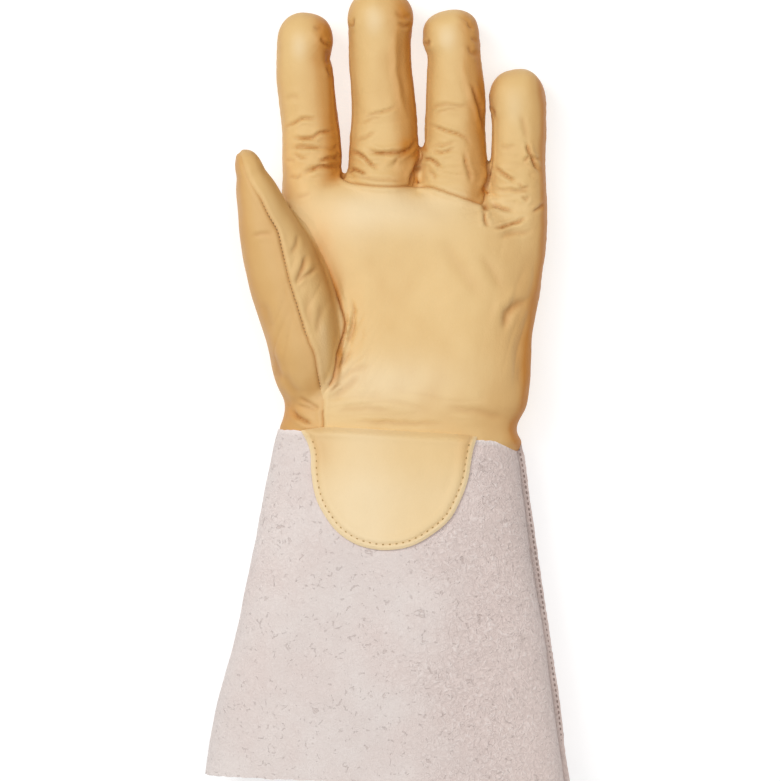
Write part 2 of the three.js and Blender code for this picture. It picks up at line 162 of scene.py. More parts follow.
def tube(rings):
    """The corners and faces of a closed tube through rings, with a fan over each end."""
    count = len(rings[0])
    faces = []
    for r in range(len(rings) - 1):
        for i in range(count):
            a, b = r * count + i, r * count + (i + 1) % count
            faces.append((a, b, b + count, a + count))
    last = (len(rings) - 1) * count
    for i in range(count):
        j = (i + 1) % count
        faces.append((len(rings) * count, j, i))
        faces.append((len(rings) * count + 1, last + i, last + j))
    return np.concatenate([*rings, [np.mean(rings[0], 0), np.mean(rings[-1], 0)]]), faces


def hand_rings():
    """Rings of points round the body of the hand, dented and swollen on the palm side."""
    section, _ = oval(72)
    rings = []
    for y, left, right, back, front, climb in filled_in(HAND, 5):
        x = (left + right) / 2 + (right - left) / 2 * section[:, 0]
        z = (back + front) / 2 + (front - back) / 2 * section[:, 1]
        for dx, dy, rx, ry, depth, side in DENTS:
            facing = np.clip(side * section[:, 1], 0, 1)
            z -= side * facing * depth * np.exp(-((x - dx) / rx)**2 - ((y - dy) / ry)**2)
        rings.append(np.stack([x, y + climb * (x - (left + right) / 2), np.maximum(z, 0)], 1))
    return rings


def limb_rings(dome, rows):
    """Rings of points square to a finger or the thumb, closing in a dome at its tip."""
    section, _ = oval(48)
    rows = filled_in(rows, 5)
    middle = rows[:, :3]
    along = np.gradient(middle, axis=0)
    along /= np.linalg.norm(along, axis=1)[:, None]
    across = np.cross(along, (0, 0, 1))
    across /= np.linalg.norm(across, axis=1)[:, None]
    over = np.cross(across, along)
    rings = []
    for m, a, o, row in zip(middle, across, over, rows):
        rings.append(m + section[:, :1] * a * row[3] / 2 + section[:, 1:] * o * row[4] / 2)
    for turn in np.radians([10, 20, 30, 40, 50, 60, 70, 79, 86]):
        m = middle[-1] + along[-1] * dome * math.sin(turn)**0.94
        shrink = math.cos(turn)**0.86
        rings.append(m + shrink * (section[:, :1] * across[-1] * rows[-1, 3] / 2
                                   + section[:, 1:] * over[-1] * rows[-1, 4] / 2))
    return rings


corners, faces = [], []
for rings in [hand_rings()] + [limb_rings(*limb) for limb in LIMBS.values()]:
    points, sides = tube(rings)
    start = sum(len(c) for c in corners)
    corners.append(points)
    faces += [tuple(start + i for i in side) for side in sides]
form_mesh = bpy.data.meshes.new("hand_form")
form_mesh.from_pydata(np.concatenate(corners) / 1000, [], faces)
form = bpy.data.objects.new("hand_form", form_mesh)
bpy.context.collection.objects.link(form)
bpy.context.view_layer.objects.active = form
form.select_set(True)
joined = form.modifiers.new("joined", "REMESH")
joined.mode = "VOXEL"
joined.voxel_size = 0.0008  # metres
bpy.ops.object.modifier_apply(modifier="joined")


def mesh_points(mesh):
    """The points of a mesh in millimetres."""
    flat = np.empty(len(mesh.vertices) * 3)
    mesh.vertices.foreach_get("co", flat)
    return flat.reshape(-1, 3) * 1000


def mesh_quads(mesh):
    """The corners of each face of a mesh of quads."""
    flat = np.empty(len(mesh.loops), int)
    mesh.loops.foreach_get("vertex_index", flat)
    return flat.reshape(-1, 4)


def summed(points, ends, others):
    """For each point, the sum of the points at the other ends of its edges."""
    return np.stack([np.bincount(ends, points[others, k], len(points)) for k in range(3)], 1)


def relaxed(points, quads, share, rounds):
    """Points moved towards the middle of their neighbours, by a share each, in rounds."""
    a, b = quads.ravel(), np.roll(quads, -1, 1).ravel()
    ends, others = np.r_[a, b], np.r_[b, a]
    count = np.bincount(ends, minlength=len(points))
    for _ in range(rounds):
        points = points + share[:, None] * (summed(points, ends, others) / count[:, None] - points)
    return points


def eased(value, low, high):
    """0 below low, 1 above high and smooth between."""
    t = np.clip((value - low) / (high - low), 0, 1)
    return t * t * (3 - 2 * t)


def out_of_limb(points, dome, rows):
    """How far out a point is in a limb, where 1 is the limb's surface."""
    rows = filled_in(rows, 3)
    best = np.full(len(points), 99.0)
    for a, b in zip(rows[:-1], rows[1:]):
        along = (b - a)[:3]
        t = np.clip(((points - a[:3]) @ along) / (along @ along), 0, 1)
        off = points - (a[:3] + t[:, None] * along)
        unit = along / np.linalg.norm(along)
        across = np.cross(unit, (0, 0, 1))
        across /= np.linalg.norm(across)
        over = np.cross(across, unit)
        width, height = [(a[k] + t * (b[k] - a[k])) / 2 for k in (3, 4)]
        parts = [np.abs(off @ across) / width, np.abs(off @ over) / height, np.abs(off @ unit) / dome]
        best = np.minimum(best, sum(p**SQUARENESS for p in parts)**(1 / SQUARENESS))
    return best


def section_at(rows, level):
    """Left, right, back, front and climb at a level, between rows that run upwards."""
    return [np.interp(level, rows[:, 0], rows[:, k]) for k in range(1, 6)]


def tilted_section(rows, x, y, rounds):
    """The level of the tilted section that runs through x and y, and what it measures there."""
    level = y
    for _ in range(rounds):
        measures = section_at(rows, level)
        left, right, climb = measures[0], measures[1], measures[4]
        level = y - climb * (x - (left + right) / 2)
    return level, measures


def out_of_hand(points):
    """The same for the hand, measured in its tilted sections."""
    rows = np.array(HAND, float)
    x, y, z = points.T
    level, (left, right, back, front, _) = tilted_section(rows, x, y, 2)
    parts = [np.abs(x - (left + right) / 2) / (right - left) * 2,
             np.abs(z - (back + front) / 2) / (front - back) * 2]
    return sum(p**SQUARENESS for p in parts)**(1 / SQUARENESS) + np.maximum(level - rows[-1, 0], 0) / 8


form_points = mesh_points(form.data)
form_quads = mesh_quads(form.data)
form_points = relaxed(form_points, form_quads, np.full(len(form_points), 0.5), 10)
outness = {name: out_of_limb(form_points, *limb) for name, limb in LIMBS.items()}
outness["hand"] = out_of_hand(form_points)
ranked = np.sort(np.stack(list(outness.values())), 0)
near_two = 1 - eased(ranked[1] - ranked[0], 0.02, 0.20)
form_points = relaxed(form_points, form_quads, 0.5 * near_two, 50)
form_points[:, 2] = np.maximum(form_points[:, 2], 0)
but_thumb = np.minimum.reduce([v for k, v in outness.items() if k != "thumb"])
thumbness = eased(but_thumb - outness["thumb"], -0.03, 0.03)
bpy.data.objects.remove(form)

# The seams that part the form into panels. On the palm side they are lines of x, y; the side seam
# runs round the hand and fingers at one height, and the strips between the fingers lie across it.
SEAMS = {
    "thumb_ridge": [
        (-70, 110), (-66, 104), (-62.6, 93.6), (-57.6, 85), (-53, 76), (-49.1, 69), (-46.8, 59),
        (-43.7, 46), (-39.6, 33), (-36.5, 23), (-32.9, 14), (-31.1, 3.6), (-29.3, -4.5),
        (-27.5, -11), (-27.5, -20), (-27.5, -34)],
    "thumb_root": [
        (-54, 96), (-46.8, 88), (-41.9, 80.6), (-35.2, 70), (-31, 61.7), (-26.6, 52), (-23, 42),
        (-20.3, 33.3), (-19.4, 27.5), (-21.6, 18.5), (-24.8, 10.8), (-27.9, 1), (-29.2, -4.4)],
    "finger_base": [
        (-19.3, 112), (-19.6, 103), (-20.6, 96), (-18.4, 92.4), (-8.1, 90.5), (3.2, 90), (11, 90.4),
        (18.9, 90), (27.9, 87), (36.9, 83.8), (41, 82.5), (42.7, 82.3), (43.3, 84), (44.2, 93),
        (44.6, 112)],
    "middle_to_ring": [(11.4, 90.4), (12.6, 96), (14.4, 104), (15, 118)],
}
SEAMS = {name: filled_in(line, 4) for name, line in SEAMS.items()}
SIDE_SEAM_Z = 13
STRIP_LOW_Z = 9.5
STRIP_TOP_Z = 21
STRIPS = {  # the two fingers, x of the gap between them and the lowest y
    "fourchette_index_middle": ("index", "middle", -19.6, 88),
    "fourchette_middle_ring": ("middle", "ring", 14.4, 88),
    "fourchette_ring_little": ("ring", "little", 44.6, 79),
}
GAPS = [strip[2] for strip in STRIPS.values()]
STRIP_ENDS = np.array([LIMBS[finger][1][-1][1] - 4 for finger in ("index", "middle", "ring", "little")])


def strip_top(x, y):
    """Height of the strips' upper edge at a place on a finger. It comes down in a curve at the tip."""
    end = STRIP_ENDS[np.searchsorted(GAPS, x)]
    return STRIP_LOW_Z + (STRIP_TOP_Z - STRIP_LOW_Z) * np.sqrt(np.clip((end - y) / 8, 0, 1))


def in_outline(xy, outline):
    """Which points lie inside a closed outline."""
    inside = np.zeros(len(xy), bool)
    x, y = xy.T
    for (x0, y0), (x1, y1) in zip(outline, outline[1:] + outline[:1]):
        crosses = (y0 > y) != (y1 > y)
        inside ^= crosses & (x < (x1 - x0) * (y - y0) / ((y1 - y0) or 1e-9) + x0)
    return inside


def at_y(line, y):
    """The x of a line at some y."""
    line = np.array(line)
    order = np.argsort(line[:, 1])
    return np.interp(y, line[order, 1], line[order, 0])


THUMB_ROOT_TOP = 74  # y above which only the thumb itself is the thumb's leather
THUMB_ROOT_END = -4.4  # y where the thumb's two seams meet
HAND_END = -29.5  # y where the leather of the hand ends inside the cuff
middles = form_points[form_quads].mean(1)
mid_x, mid_y, mid_z = middles.T
panel_of = np.full(len(form_quads), "palm_panel", dtype="U32")
base = [tuple(p) for p in SEAMS["finger_base"]]
panel_of[in_outline(middles[:, :2], base + [(44.6, 190), (-19.3, 190)])] = "middle_finger_front"
is_ring = (panel_of == "middle_finger_front") & (mid_x > at_y(SEAMS["middle_to_ring"], mid_y))
panel_of[is_ring] = "ring_finger_front"
on_thumb = thumbness[form_quads].mean(1) > 0.5
root = [tuple(p) for p in SEAMS["thumb_root"]]
left_of_root = in_outline(middles[:, :2], root + [(-29.2, -40), (-120, -40), (-120, 96)])
panel_of[(left_of_root & (mid_y < THUMB_ROOT_TOP)) | on_thumb] = "thumb_inner"
left_of_ridge = mid_x < at_y(SEAMS["thumb_ridge"], mid_y)
panel_of[(panel_of == "thumb_inner") & left_of_ridge] = "thumb_outer"
panel_of[(panel_of == "thumb_inner") & (mid_y < THUMB_ROOT_END)] = "palm_panel"
panel_of[mid_z < SIDE_SEAM_Z] = "hand_back"
for name, (one, other, gap, low) in STRIPS.items():
    for finger, sign in ((one, 1), (other, -1)):
        rows = np.array(LIMBS[finger][1])
        beside = sign * (mid_x - at_y(rows[:, :2], mid_y)) > 0
        beside &= sign * (gap - mid_x) > 0
        beside &= (mid_y > low) & (mid_z > STRIP_LOW_Z)
        panel_of[beside & (mid_z < strip_top(mid_x, mid_y))] = name
panel_of[mid_y < HAND_END] = "hidden"

# Each seam is drawn onto its true line, so that the panels meet cleanly.
SEAM_REACH = 1.3  # how far from its line a point may be drawn onto it
SURFACE_REACH = 2  # and how far it may move on the surface for that
code = np.unique(panel_of, return_inverse=True)[1]
lowest = np.full(len(form_points), 99)
highest = np.full(len(form_points), -1)
for k in range(4):
    np.minimum.at(lowest, form_quads[:, k], code)
    np.maximum.at(highest, form_quads[:, k], code)
sewn = np.flatnonzero(lowest != highest)


def tree_of(points, quads):
    """A surface that can be searched for its nearest point or for what lies straight below."""
    return bvhtree.BVHTree.FromPolygons([Vector(p) for p in points], quads.tolist())


def below(tree, x, y, top=90, reach=100):
    """Where a line straight down from a height meets a surface first, or None."""
    return tree.ray_cast(Vector((x, y, top)), Vector((0, 0, -1)), reach)[0]


def from_line(xy, line):
    """Distance to a line of points, the share of its length there, and the nearest point on it."""
    line = np.array(line, float)
    lengths = np.linalg.norm(np.diff(line, axis=0), axis=1)
    starts = np.r_[0, np.cumsum(lengths)]
    best = np.full(len(xy), 1e9)
    share = np.zeros(len(xy))
    nearest = np.zeros((len(xy), 2))
    for k, (a, b) in enumerate(zip(line[:-1], line[1:])):
        t = np.clip(((xy - a) @ (b - a)) / (lengths[k]**2), 0, 1)
        spot = a + t[:, None] * (b - a)
        d = np.linalg.norm(xy - spot, axis=1)
        closer = d < best
        best[closer] = d[closer]
        share[closer] = ((starts[k] + t * lengths[k]) / starts[-1])[closer]
        nearest[closer] = spot[closer]
    return best, share, nearest


surface = tree_of(form_points, form_quads)
targets = [from_line(form_points[sewn, :2], line) for line in SEAMS.values()]
for k, i in enumerate(sewn):
    p = Vector(form_points[i])
    choices = [(abs(p.z - SIDE_SEAM_Z), "z", SIDE_SEAM_Z)]
    choices += [(abs(p.z - z), "z", z) for z in (STRIP_LOW_Z, strip_top(p.x, p.y))]
    if p.z > SIDE_SEAM_Z + 0.6:
        choices += [(t[0][k], "xy", t[2][k]) for t in targets]
    gap, kind, aim = min(choices, key=lambda c: c[0])
    if gap > SEAM_REACH:
        continue
    if kind == "z":
        for _ in range(3):
            p.z = aim
            p = surface.find_nearest(p)[0]
        p.z = aim
    else:
        hit = below(surface, *aim, top=p.z + 3, reach=8)
        if hit and (hit - p).length < SURFACE_REACH:
            p = hit
    form_points[i] = p


def unspiked(points, quads, most):
    """Points with each one that stands off from its neighbours by more than this drawn back."""
    for _ in range(3):
        even = relaxed(points, quads, np.ones(len(points)), 1)
        spiky = np.linalg.norm(even - points, axis=1) > most
        points[spiky] = even[spiky]
    return points


form_points = unspiked(form_points, form_quads, 0.45)
a, b = form_quads.ravel(), np.roll(form_quads, -1, 1).ravel()
key = np.minimum(a, b) * len(form_points) + np.maximum(a, b)
order = np.argsort(key)
twins = key[order][:-1] == key[order][1:]
one, two = order[:-1][twins], order[1:][twins]
on_seam = one[code[one // 4] != code[two // 4]]
ends, others = np.r_[a[on_seam], b[on_seam]], np.r_[b[on_seam], a[on_seam]]
joins = np.bincount(ends, minlength=len(form_points))
along_seam = joins == 2
for _ in range(6):
    middle = summed(form_points, ends, others) / 2
    form_points[along_seam] += 0.5 * (middle[along_seam] - form_points[along_seam])
beside_seam = np.zeros(len(form_points))
beside_seam[form_quads[np.isin(form_quads, sewn).any(1)]] = 0.5
beside_seam[sewn] = 0
form_points = relaxed(form_points, form_quads, beside_seam, 5)
form_points = unspiked(form_points, form_quads, 0.6)


def surface_normals(points, quads):
    """The outward direction at each point of a surface."""
    one, two = points[quads[:, 2]] - points[quads[:, 0]], points[quads[:, 3]] - points[quads[:, 1]]
    face = np.cross(one, two)
    total = np.zeros_like(points)
    for k in range(4):
        for axis in range(3):
            total[:, axis] += np.bincount(quads[:, k], face[:, axis], len(points))
    return total / np.maximum(np.linalg.norm(total, axis=1), 1e-12)[:, None]


def rumple(points, size, seed):
    """Smooth noise at each point, from -1 to 1, with swells of a size in millimetres."""
    shift = Vector((seed * 7.3, seed * 3.1, seed * 5.7))
    size = np.broadcast_to(size, 3)
    return np.array([noise.noise(Vector(p) + shift) for p in points / size])


def nearest_of(points):
    """What finds the nearest of these points, with its number and its distance."""
    tree = kdtree.KDTree(len(points))
    for k, p in enumerate(points):
        tree.insert(p, k)
    tree.balance()
    return tree


form_normals = surface_normals(form_points, form_quads)
swell = rumple(form_points, 24, 3) * 0.6 + rumple(form_points, 10, 4) * 0.3
form_points += form_normals * (swell * eased(form_points[:, 2], 0.3, 8))[:, None]
form_points[:, 2] = np.maximum(form_points[:, 2], 0)
form_normals = surface_normals(form_points, form_quads)
seam_spots = form_points[sewn]
seam_tree = nearest_of(seam_spots)
seam_shows = 0.3 + 0.7 * eased(form_normals[sewn, 2], 0.3, 0.7)
seam_shows[from_line(seam_spots[:, :2], SEAMS["thumb_ridge"])[0] < 1.6] *= 0.9
seam_shows[from_line(seam_spots[:, :2], SEAMS["thumb_root"])[0] < 1.6] *= 1.7
seam_shows[(seam_spots[:, 1] > 84) & (seam_spots[:, 2] < STRIP_TOP_Z + 1.5)] = 0.3
SEAM_FADES = [  # a seam, the y where it starts to fade, the y where it ends, and what is left there
    ("thumb_root", 38, 52, 0.06), ("thumb_ridge", 82, 90, 0.2), ("thumb_ridge", 4, -6, 0.3),
    ("thumb_root", 6, 0, 0.0)]
for name, low, high, left in SEAM_FADES:
    near = from_line(seam_spots[:, :2], SEAMS[name])[0] < 1.6
    seam_shows[near] *= 1 - (1 - left) * eased(seam_spots[near, 1], low, high)

# Grain leather: smooth buff cowhide. It is paler where it is stretched over the palm and the tips,
# with a painted highlight where it faces up, and painted shade makes it deeper on the sides away
# from the light and brown in its folds and seams. A fine grain and pores cover all of it.


def new_material(name, constants):
    """A material, its nodes, links and shader with these constants, and the object's coordinates."""
    made = bpy.data.materials.new(name)
    made.use_nodes = True
    nodes = made.node_tree.nodes
    shader = nodes["Principled BSDF"]
    for socket, value in constants.items():
        shader.inputs[socket].default_value = value
    return made, nodes, made.node_tree.links, shader, nodes.new("ShaderNodeTexCoord").outputs["Object"]


def add_node(kind, output, inputs, **settings):
    """A node of the material at hand. Each input is a constant or the output of another node."""
    made = nodes.new("ShaderNode" + kind)
    for setting, value in settings.items():
        setattr(made, setting, value)
    for socket, value in inputs.items():
        if isinstance(value, bpy.types.NodeSocket):
            links.new(value, made.inputs[socket])
        else:
            made.inputs[socket].default_value = value
    return made.outputs[output]


def noise_of(scale, detail=2.0, roughness=0.5, distortion=0.0):
    """Noise over the object, with so many swells to the metre."""
    return add_node("TexNoise", "Fac", {"Vector": place, "Scale": scale, "Detail": detail,
                                        "Roughness": roughness, "Distortion": distortion})


def math_of(operation, *values, clamp=False):
    return add_node("Math", "Value", dict(enumerate(values)), operation=operation, use_clamp=clamp)


def range_of(value, low, high, to_low=0.0, to_high=1.0, kind="SMOOTHSTEP"):
    """A value that goes from to_low to to_high while another goes from low to high."""
    return add_node("MapRange", "Result", {"Value": value, "From Min": low, "From Max": high,
                                           "To Min": to_low, "To Max": to_high}, interpolation_type=kind)


def mix_of(mask, one, other):
    """One colour where the mask is 0 and the other where it is 1."""
    return add_node("Mix", "Result", {"Factor": mask, "A": one, "B": other}, data_type="RGBA")


def ramp_of(value, low, low_colour, high, high_colour):
    """A colour that goes from one to the other while a value goes from low to high."""
    made = nodes.new("ShaderNodeValToRGB")
    for stop, at, colour in zip(made.color_ramp.elements, (low, high), (low_colour, high_colour)):
        stop.position = at
        stop.color = colour
    links.new(value, made.inputs["Fac"])
    return made.outputs["Color"]


def mask_of(attribute):
    """A mask that is painted on the piece's own points."""
    return add_node("Attribute", "Fac", {}, attribute_name=attribute)


def relief_of(height, strength, distance):
    """The shading of a fine relief that is too small for the mesh."""
    return add_node("Bump", "Normal", {"Height": height, "Strength": strength, "Distance": distance})


leather, nodes, links, shader, place = new_material("grain_leather", {"Specular IOR Level": 0.3})
hide = ramp_of(noise_of(32, 6, 0.6), 0.32, (0.74, 0.455, 0.165, 1), 0.70, (0.80, 0.525, 0.215, 1))
# the stretch mask pales stretched leather and paints a highlight where it faces up
stretched_and_highlit = mask_of("stretch_and_highlight")
pale_and_highlit = ramp_of(stretched_and_highlit, 0.5, (0.845, 0.60, 0.28, 1), 1, (0.90, 0.70, 0.42, 1))
# the side mask paints shade, deeper and browner, on sides turned away from the light
side_shaded = mix_of(mask_of("side"), mix_of(stretched_and_highlit, hide, pale_and_highlit), (0.60, 0.24, 0.038, 1))
# the crease mask paints shade, brown, in folds, pits and seams
crease_shaded = mix_of(mask_of("crease_shade"), side_shaded, (0.42, 0.15, 0.025, 1))
links.new(crease_shaded, shader.inputs["Base Color"])
pores = add_node("TexVoronoi", "Distance", {"Vector": place, "Scale": 1000})
grain = noise_of(220, 7, 0.65)
links.new(range_of(grain, 0.0, 1.0, 0.42, 0.62, "LINEAR"), shader.inputs["Roughness"])
links.new(relief_of(math_of("MULTIPLY_ADD", pores, 0.35, grain), 0.4, 0.0004), shader.inputs["Normal"])

# What the panels share: the wall of their leather in millimetres, the places where it is stretched
# pale and has a painted highlight, and the places where painted shade makes it browner or darkens its
# creases.
LEATHER_WALL = 1.5
# pits at the bottoms of the finger webs, with painted shade in them
PITS = [(13.5, 98.5, 1.5, 1.6), (43.9, 81.3, 1.5, 2.0), (-20.2, 95.2, 1.3, 1.0)]  # x, y, reach, depth
WEB_CREASES = [  # deep creases where neighbouring fingers press together, with painted shade in them, in x, y
    [(15.0, 104.5), (14.2, 101.5), (12.4, 97.5), (11.0, 94.4), (10.2, 91.6)],
    [(44.8, 101.6), (45.8, 96.8), (45.0, 92.3), (43.2, 87.8)],
    [(-20.2, 98.6), (-20.6, 95)],
]
PALE_AND_HIGHLIT = [  # x, y, reach in x, reach in y and how much, where the leather is stretched pale and has a painted highlight
    (-40, 153, 5, 8, 0.55), (-6.3, 165, 6, 9, 0.55), (26.6, 157, 6, 8, 0.55), (56.7, 126, 6, 12, 0.4),
    (4, 80, 36, 12, 0.38), (-16, 74, 12, 16, 0.15), (-25.5, 24, 4, 9, 0.6), (-2, 2, 34, 13, 0.36),
    (10, -48, 30, 16, 0.4),
]
SIDE_SHADE = {  # how much painted shade browns the sides of a panel, where 1 is usual
    "thumb_inner": 0.15, "thumb_outer": 0.6, "fourchette_middle_ring": 0.2, "fourchette_ring_little": 0.2}
PANEL_SHADE = {"thumb_outer": 0.28, "thumb_inner": 0.08}  # and how much painted shade browns all of it
SHADED_FACETS = [  # flat sides of the middle and ring fingers, browner with painted shade: an outline in x, y, and how much
    ([(3.8, 164), (3.0, 152), (3.8, 140), (5.6, 129), (7.6, 121), (10.4, 114), (13.6, 106), (18, 106),
      (12.4, 130), (11.2, 150), (12.4, 165)], 0.72),
    ([(33.8, 155), (33.3, 142), (36.8, 134.5), (40.8, 125.6), (43.6, 115.6), (45, 102), (48, 102),
      (46, 130), (44, 152), (41, 162), (36, 161)], 0.5),
]
SHADE_SPOTS = [  # x, y, reach in x, reach in y and how much, where painted shade makes the leather browner
    (-22.5, 101, 4, 8, 0.5), (-24.3, 118, 3.5, 18, 0.3), (-28.3, 158, 4, 9, 0.35), (9.9, 108, 5, 4, 0.5),
    (41.4, 124.6, 2.5, 12, 0.4), (7.6, 168, 4, 5, 0.35), (-17, 107, 2.5, 6, 0.3), (58.5, -21, 5, 8, 0.5),
    (46, -14, 8, 10, 0.12), (-30.5, 61, 4.5, 9, 0.45), (-26, 50, 4, 9, 0.45), (-23, 41, 3, 7, 0.3),
    (64, 10, 5, 26, 0.5), (-44, -13, 6, 8, 0.25),
]
UNSEWN = 0.4  # millimetres from a seam, and farther in a panel's points are free of it
PUFF_AT = 1.7  # millimetres from a seam, where the turned edge inside it lifts the leather
SHARP = math.radians(58)  # edges sharper than this aren't shaded smooth


def bell(away, width):
    """1 where a distance is 0, and less away from it."""
    return np.exp(-(away / width)**2)


def spot(points, x, y, reach_x, reach_y):
    """1 at a place, and less away from it in x and y."""
    return np.exp(-((points[:, 0] - x) / reach_x)**2 - ((points[:, 1] - y) / reach_y)**2)


def sheet(name, points, quads, masks):
    """An object made of points in millimetres, alone selected, with the masks its material reads."""
    mesh = bpy.data.meshes.new(name)
    mesh.from_pydata(points / 1000, [], quads.tolist())
    for attribute, value in masks.items():
        mesh.attributes.new(attribute, "FLOAT", "POINT").data.foreach_set("value", value)
    mesh.shade_smooth()
    made = bpy.data.objects.new(name, mesh)
    bpy.context.collection.objects.link(made)
    bpy.ops.object.select_all(action="DESELECT")
    bpy.context.view_layer.objects.active = made
    made.select_set(True)
    return made


def thicken(piece, wall, rim=0):
    """Give the selected sheet its wall inwards, and its rim the material that comes so much later."""
    solid = piece.modifiers.new("wall", "SOLIDIFY")
    solid.thickness = wall / 1000
    solid.offset = -1
    solid.material_offset_rim = rim
    bpy.ops.object.modifier_apply(modifier="wall")


def sewn_panel(name, folds=(), wrinkles=(), seam_depth=0.6, puff=0.35):
    """A panel of the form with its folds, its edges turned down into the seams, and its thickness.

    folds: a depth, a width and a line of x, y each; a negative depth is a ridge. wrinkles: fine
    random creases in a patch of the panel, as x, y, reach in x, reach in y, angle in degrees,
    spacing and depth."""
    own = form_quads[panel_of == name]
    used, compact = np.unique(own, return_inverse=True)
    compact = compact.reshape(-1, 4)
    points, normals = form_points[used], form_normals[used]
    nearest_seam = [seam_tree.find(p) for p in points]
    to_seam = np.array([found[2] for found in nearest_seam])
    shows = seam_shows[[found[1] for found in nearest_seam]]
    clear = eased(to_seam, 0.2, 2.2)
    facing = eased(normals[:, 2] * (-1 if name == "hand_back" else 1), -0.05, 0.35)
    waver = np.stack([rumple(points, 7.0, 1), rumple(points, 7.0, 2)], 1) * 1.1
    waver += np.stack([rumple(points, 2.6, 5), rumple(points, 2.6, 6)], 1) * 0.3
    move = np.zeros(len(points))
    crease_shade = np.zeros(len(points))
    # each fold is a valley with a low shoulder on either side, and painted shade makes it brown in its
    # depth
    for depth, width, line in folds:
        away, share, _ = from_line(points[:, :2] + 0.7 * waver, line)
        fade = eased(np.minimum(share, 1 - share), -0.05, 0.3) * facing * clear
        width *= 0.92
        valley = bell(away, width) * fade
        shoulders = bell(away - 2.4 * width, 1.4 * width) * fade
        move += depth * (0.5 * shoulders - 1.05 * valley)
        crease_shade = np.maximum(crease_shade, 0.62 * min(depth, 1.3) * valley**1.2 / max(1, width - 0.3))
    # wrinkles: fine valleys and ridges, with a little painted shade in the valleys
    for x, y, rx, ry, angle, spacing, depth in wrinkles:
        c, s = math.cos(math.radians(angle)), math.sin(math.radians(angle))
        near = spot(points, x, y, rx, ry) * facing * clear
        turned = np.stack([c * points[:, 0] + s * points[:, 1],
                           c * points[:, 1] - s * points[:, 0], points[:, 2]], 1)
        wave = rumple(turned, (spacing * 4.5, spacing, spacing * 3), x)
        valley = bell(wave, 0.13)
        move += near * depth * (0.8 * (np.abs(wave) - 0.25) - 0.7 * valley)
        crease_shade = np.maximum(crease_shade, 0.2 * near * valley * min(depth, 1))
    # pits at the web bottoms, sunk, with painted shade in them
    for x, y, reach, depth in PITS:
        pit = spot(points, x, y, reach, reach) * facing
        move -= depth * pit
        crease_shade = np.maximum(crease_shade, 0.9 * pit)
    # web creases, sunk, with painted shade in them
    for line in WEB_CREASES:
        valley = bell(from_line(points[:, :2] + 0.3 * waver, line)[0], 0.7) * facing
        move -= 0.9 * valley
        crease_shade = np.maximum(crease_shade, 0.7 * valley)
    # the edge sinks into the seam, and the leather swells and puckers beside it; painted shade darkens
    # the seam
    pucker = 1 + 0.35 * rumple(points, 2.4, 8)
    edge = bell(to_seam, 0.5)
    move += puff * pucker * bell(to_seam - PUFF_AT, 1.1) * eased(points[:, 2], 1, 5)
    move -= seam_depth * edge * shows
    crease_shade = np.maximum(crease_shade, 0.46 * edge * shows)
    points = points + normals * move[:, None]
    inner = to_seam > UNSEWN
    points[inner] = unspiked(points.copy(), compact, 0.5)[inner]
    points[:, 2] = np.maximum(points[:, 2], 0)
    # colours: paler where it is stretched, with a painted highlight where it faces up, and painted shade,
    # browner, on the sides that face away from the light from the left
    up = normals[:, 2]
    stretch_and_highlight = 0.3 + 0.25 * eased(100 - points[:, 1], 0, 18)
    for x, y, rx, ry, amount in PALE_AND_HIGHLIT:
        stretch_and_highlight += amount * spot(points, x, y, rx, ry)
    stretch_and_highlight *= eased(up, 0.4, 0.9) if name in ("palm_panel", "thumb_inner") else eased(up, 0.6, 1.0)
    # painted shade: the side mask grows as the surface turns to face right, away from the light from the
    # upper left
    right = normals[:, 0] * eased(up, -0.6, 0.0)
    side = (0.65 * eased(right, -0.1, 0.5) + 0.35 * eased(right, 0.55, 1)) * SIDE_SHADE.get(name, 1)
    # the outer part of the palm takes its own painted shade where it turns down on the right
    if name == "palm_panel":
        outer = eased(points[:, 0], 20, 40)
        side *= 1 - 0.8 * eased(94 - points[:, 1], 0, 8) * eased(points[:, 1], 50, 62)
        outer_side_shade = 0.30 * eased(right, 0.0, 0.6) + 0.75 * eased(right, 0.6, 0.95)
        side = (1 - outer) * side + outer * outer_side_shade
    # a thin painted shade on edges that face left, and painted shade over some whole panels
    side += 0.2 * eased(-normals[:, 0], 0.6, 1) + PANEL_SHADE.get(name, 0)
    # spots of painted shade
    for x, y, rx, ry, amount in SHADE_SPOTS:
        side += amount * spot(points, x, y, rx, ry)
    # the flat sides of the middle and ring fingers in painted shade
    for outline, amount in SHADED_FACETS:
        border = from_line(points[:, :2], outline + outline[:1])[0]
        within = np.where(in_outline(points[:, :2], outline), border, -border)
        side = np.maximum(side, amount * eased(within, -0.7, 0.9) * eased(up, -0.3, 0.1))
    masks = {"crease_shade": crease_shade, "stretch_and_highlight": stretch_and_highlight, "side": side}
    masks = {attribute: np.clip(value, 0, 1) for attribute, value in masks.items()}
    piece = sheet(name + "_leather", points, compact, masks)
    thicken(piece, LEATHER_WALL)
    # where a fold has turned the wall outwards at a border, it goes back inside
    both_sides = mesh_points(piece.data)
    inside = both_sides[len(points):]
    turned_out = ((inside - points) * normals).sum(1) > -0.5
    inside[turned_out] = points[turned_out] - LEATHER_WALL * normals[turned_out]
    piece.data.vertices.foreach_set("co", (both_sides / 1000).ravel())
    piece.data.update()
    bpy.ops.object.shade_smooth_by_angle(angle=SHARP)
    piece.data.materials.append(leather)
    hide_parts(name)
    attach(piece, "root")
    return piece


# Back of the hand: one plain panel of the same leather with the backs of the four fingers. It rests
# on the table, and is sewn to the palm side and the strips all round at one height.
sewn_panel("hand_back", wrinkles=[(5, -8, 40, 10, 0, 5, 0.5), (-40, 30, 12, 40, 60, 5, 0.5)])

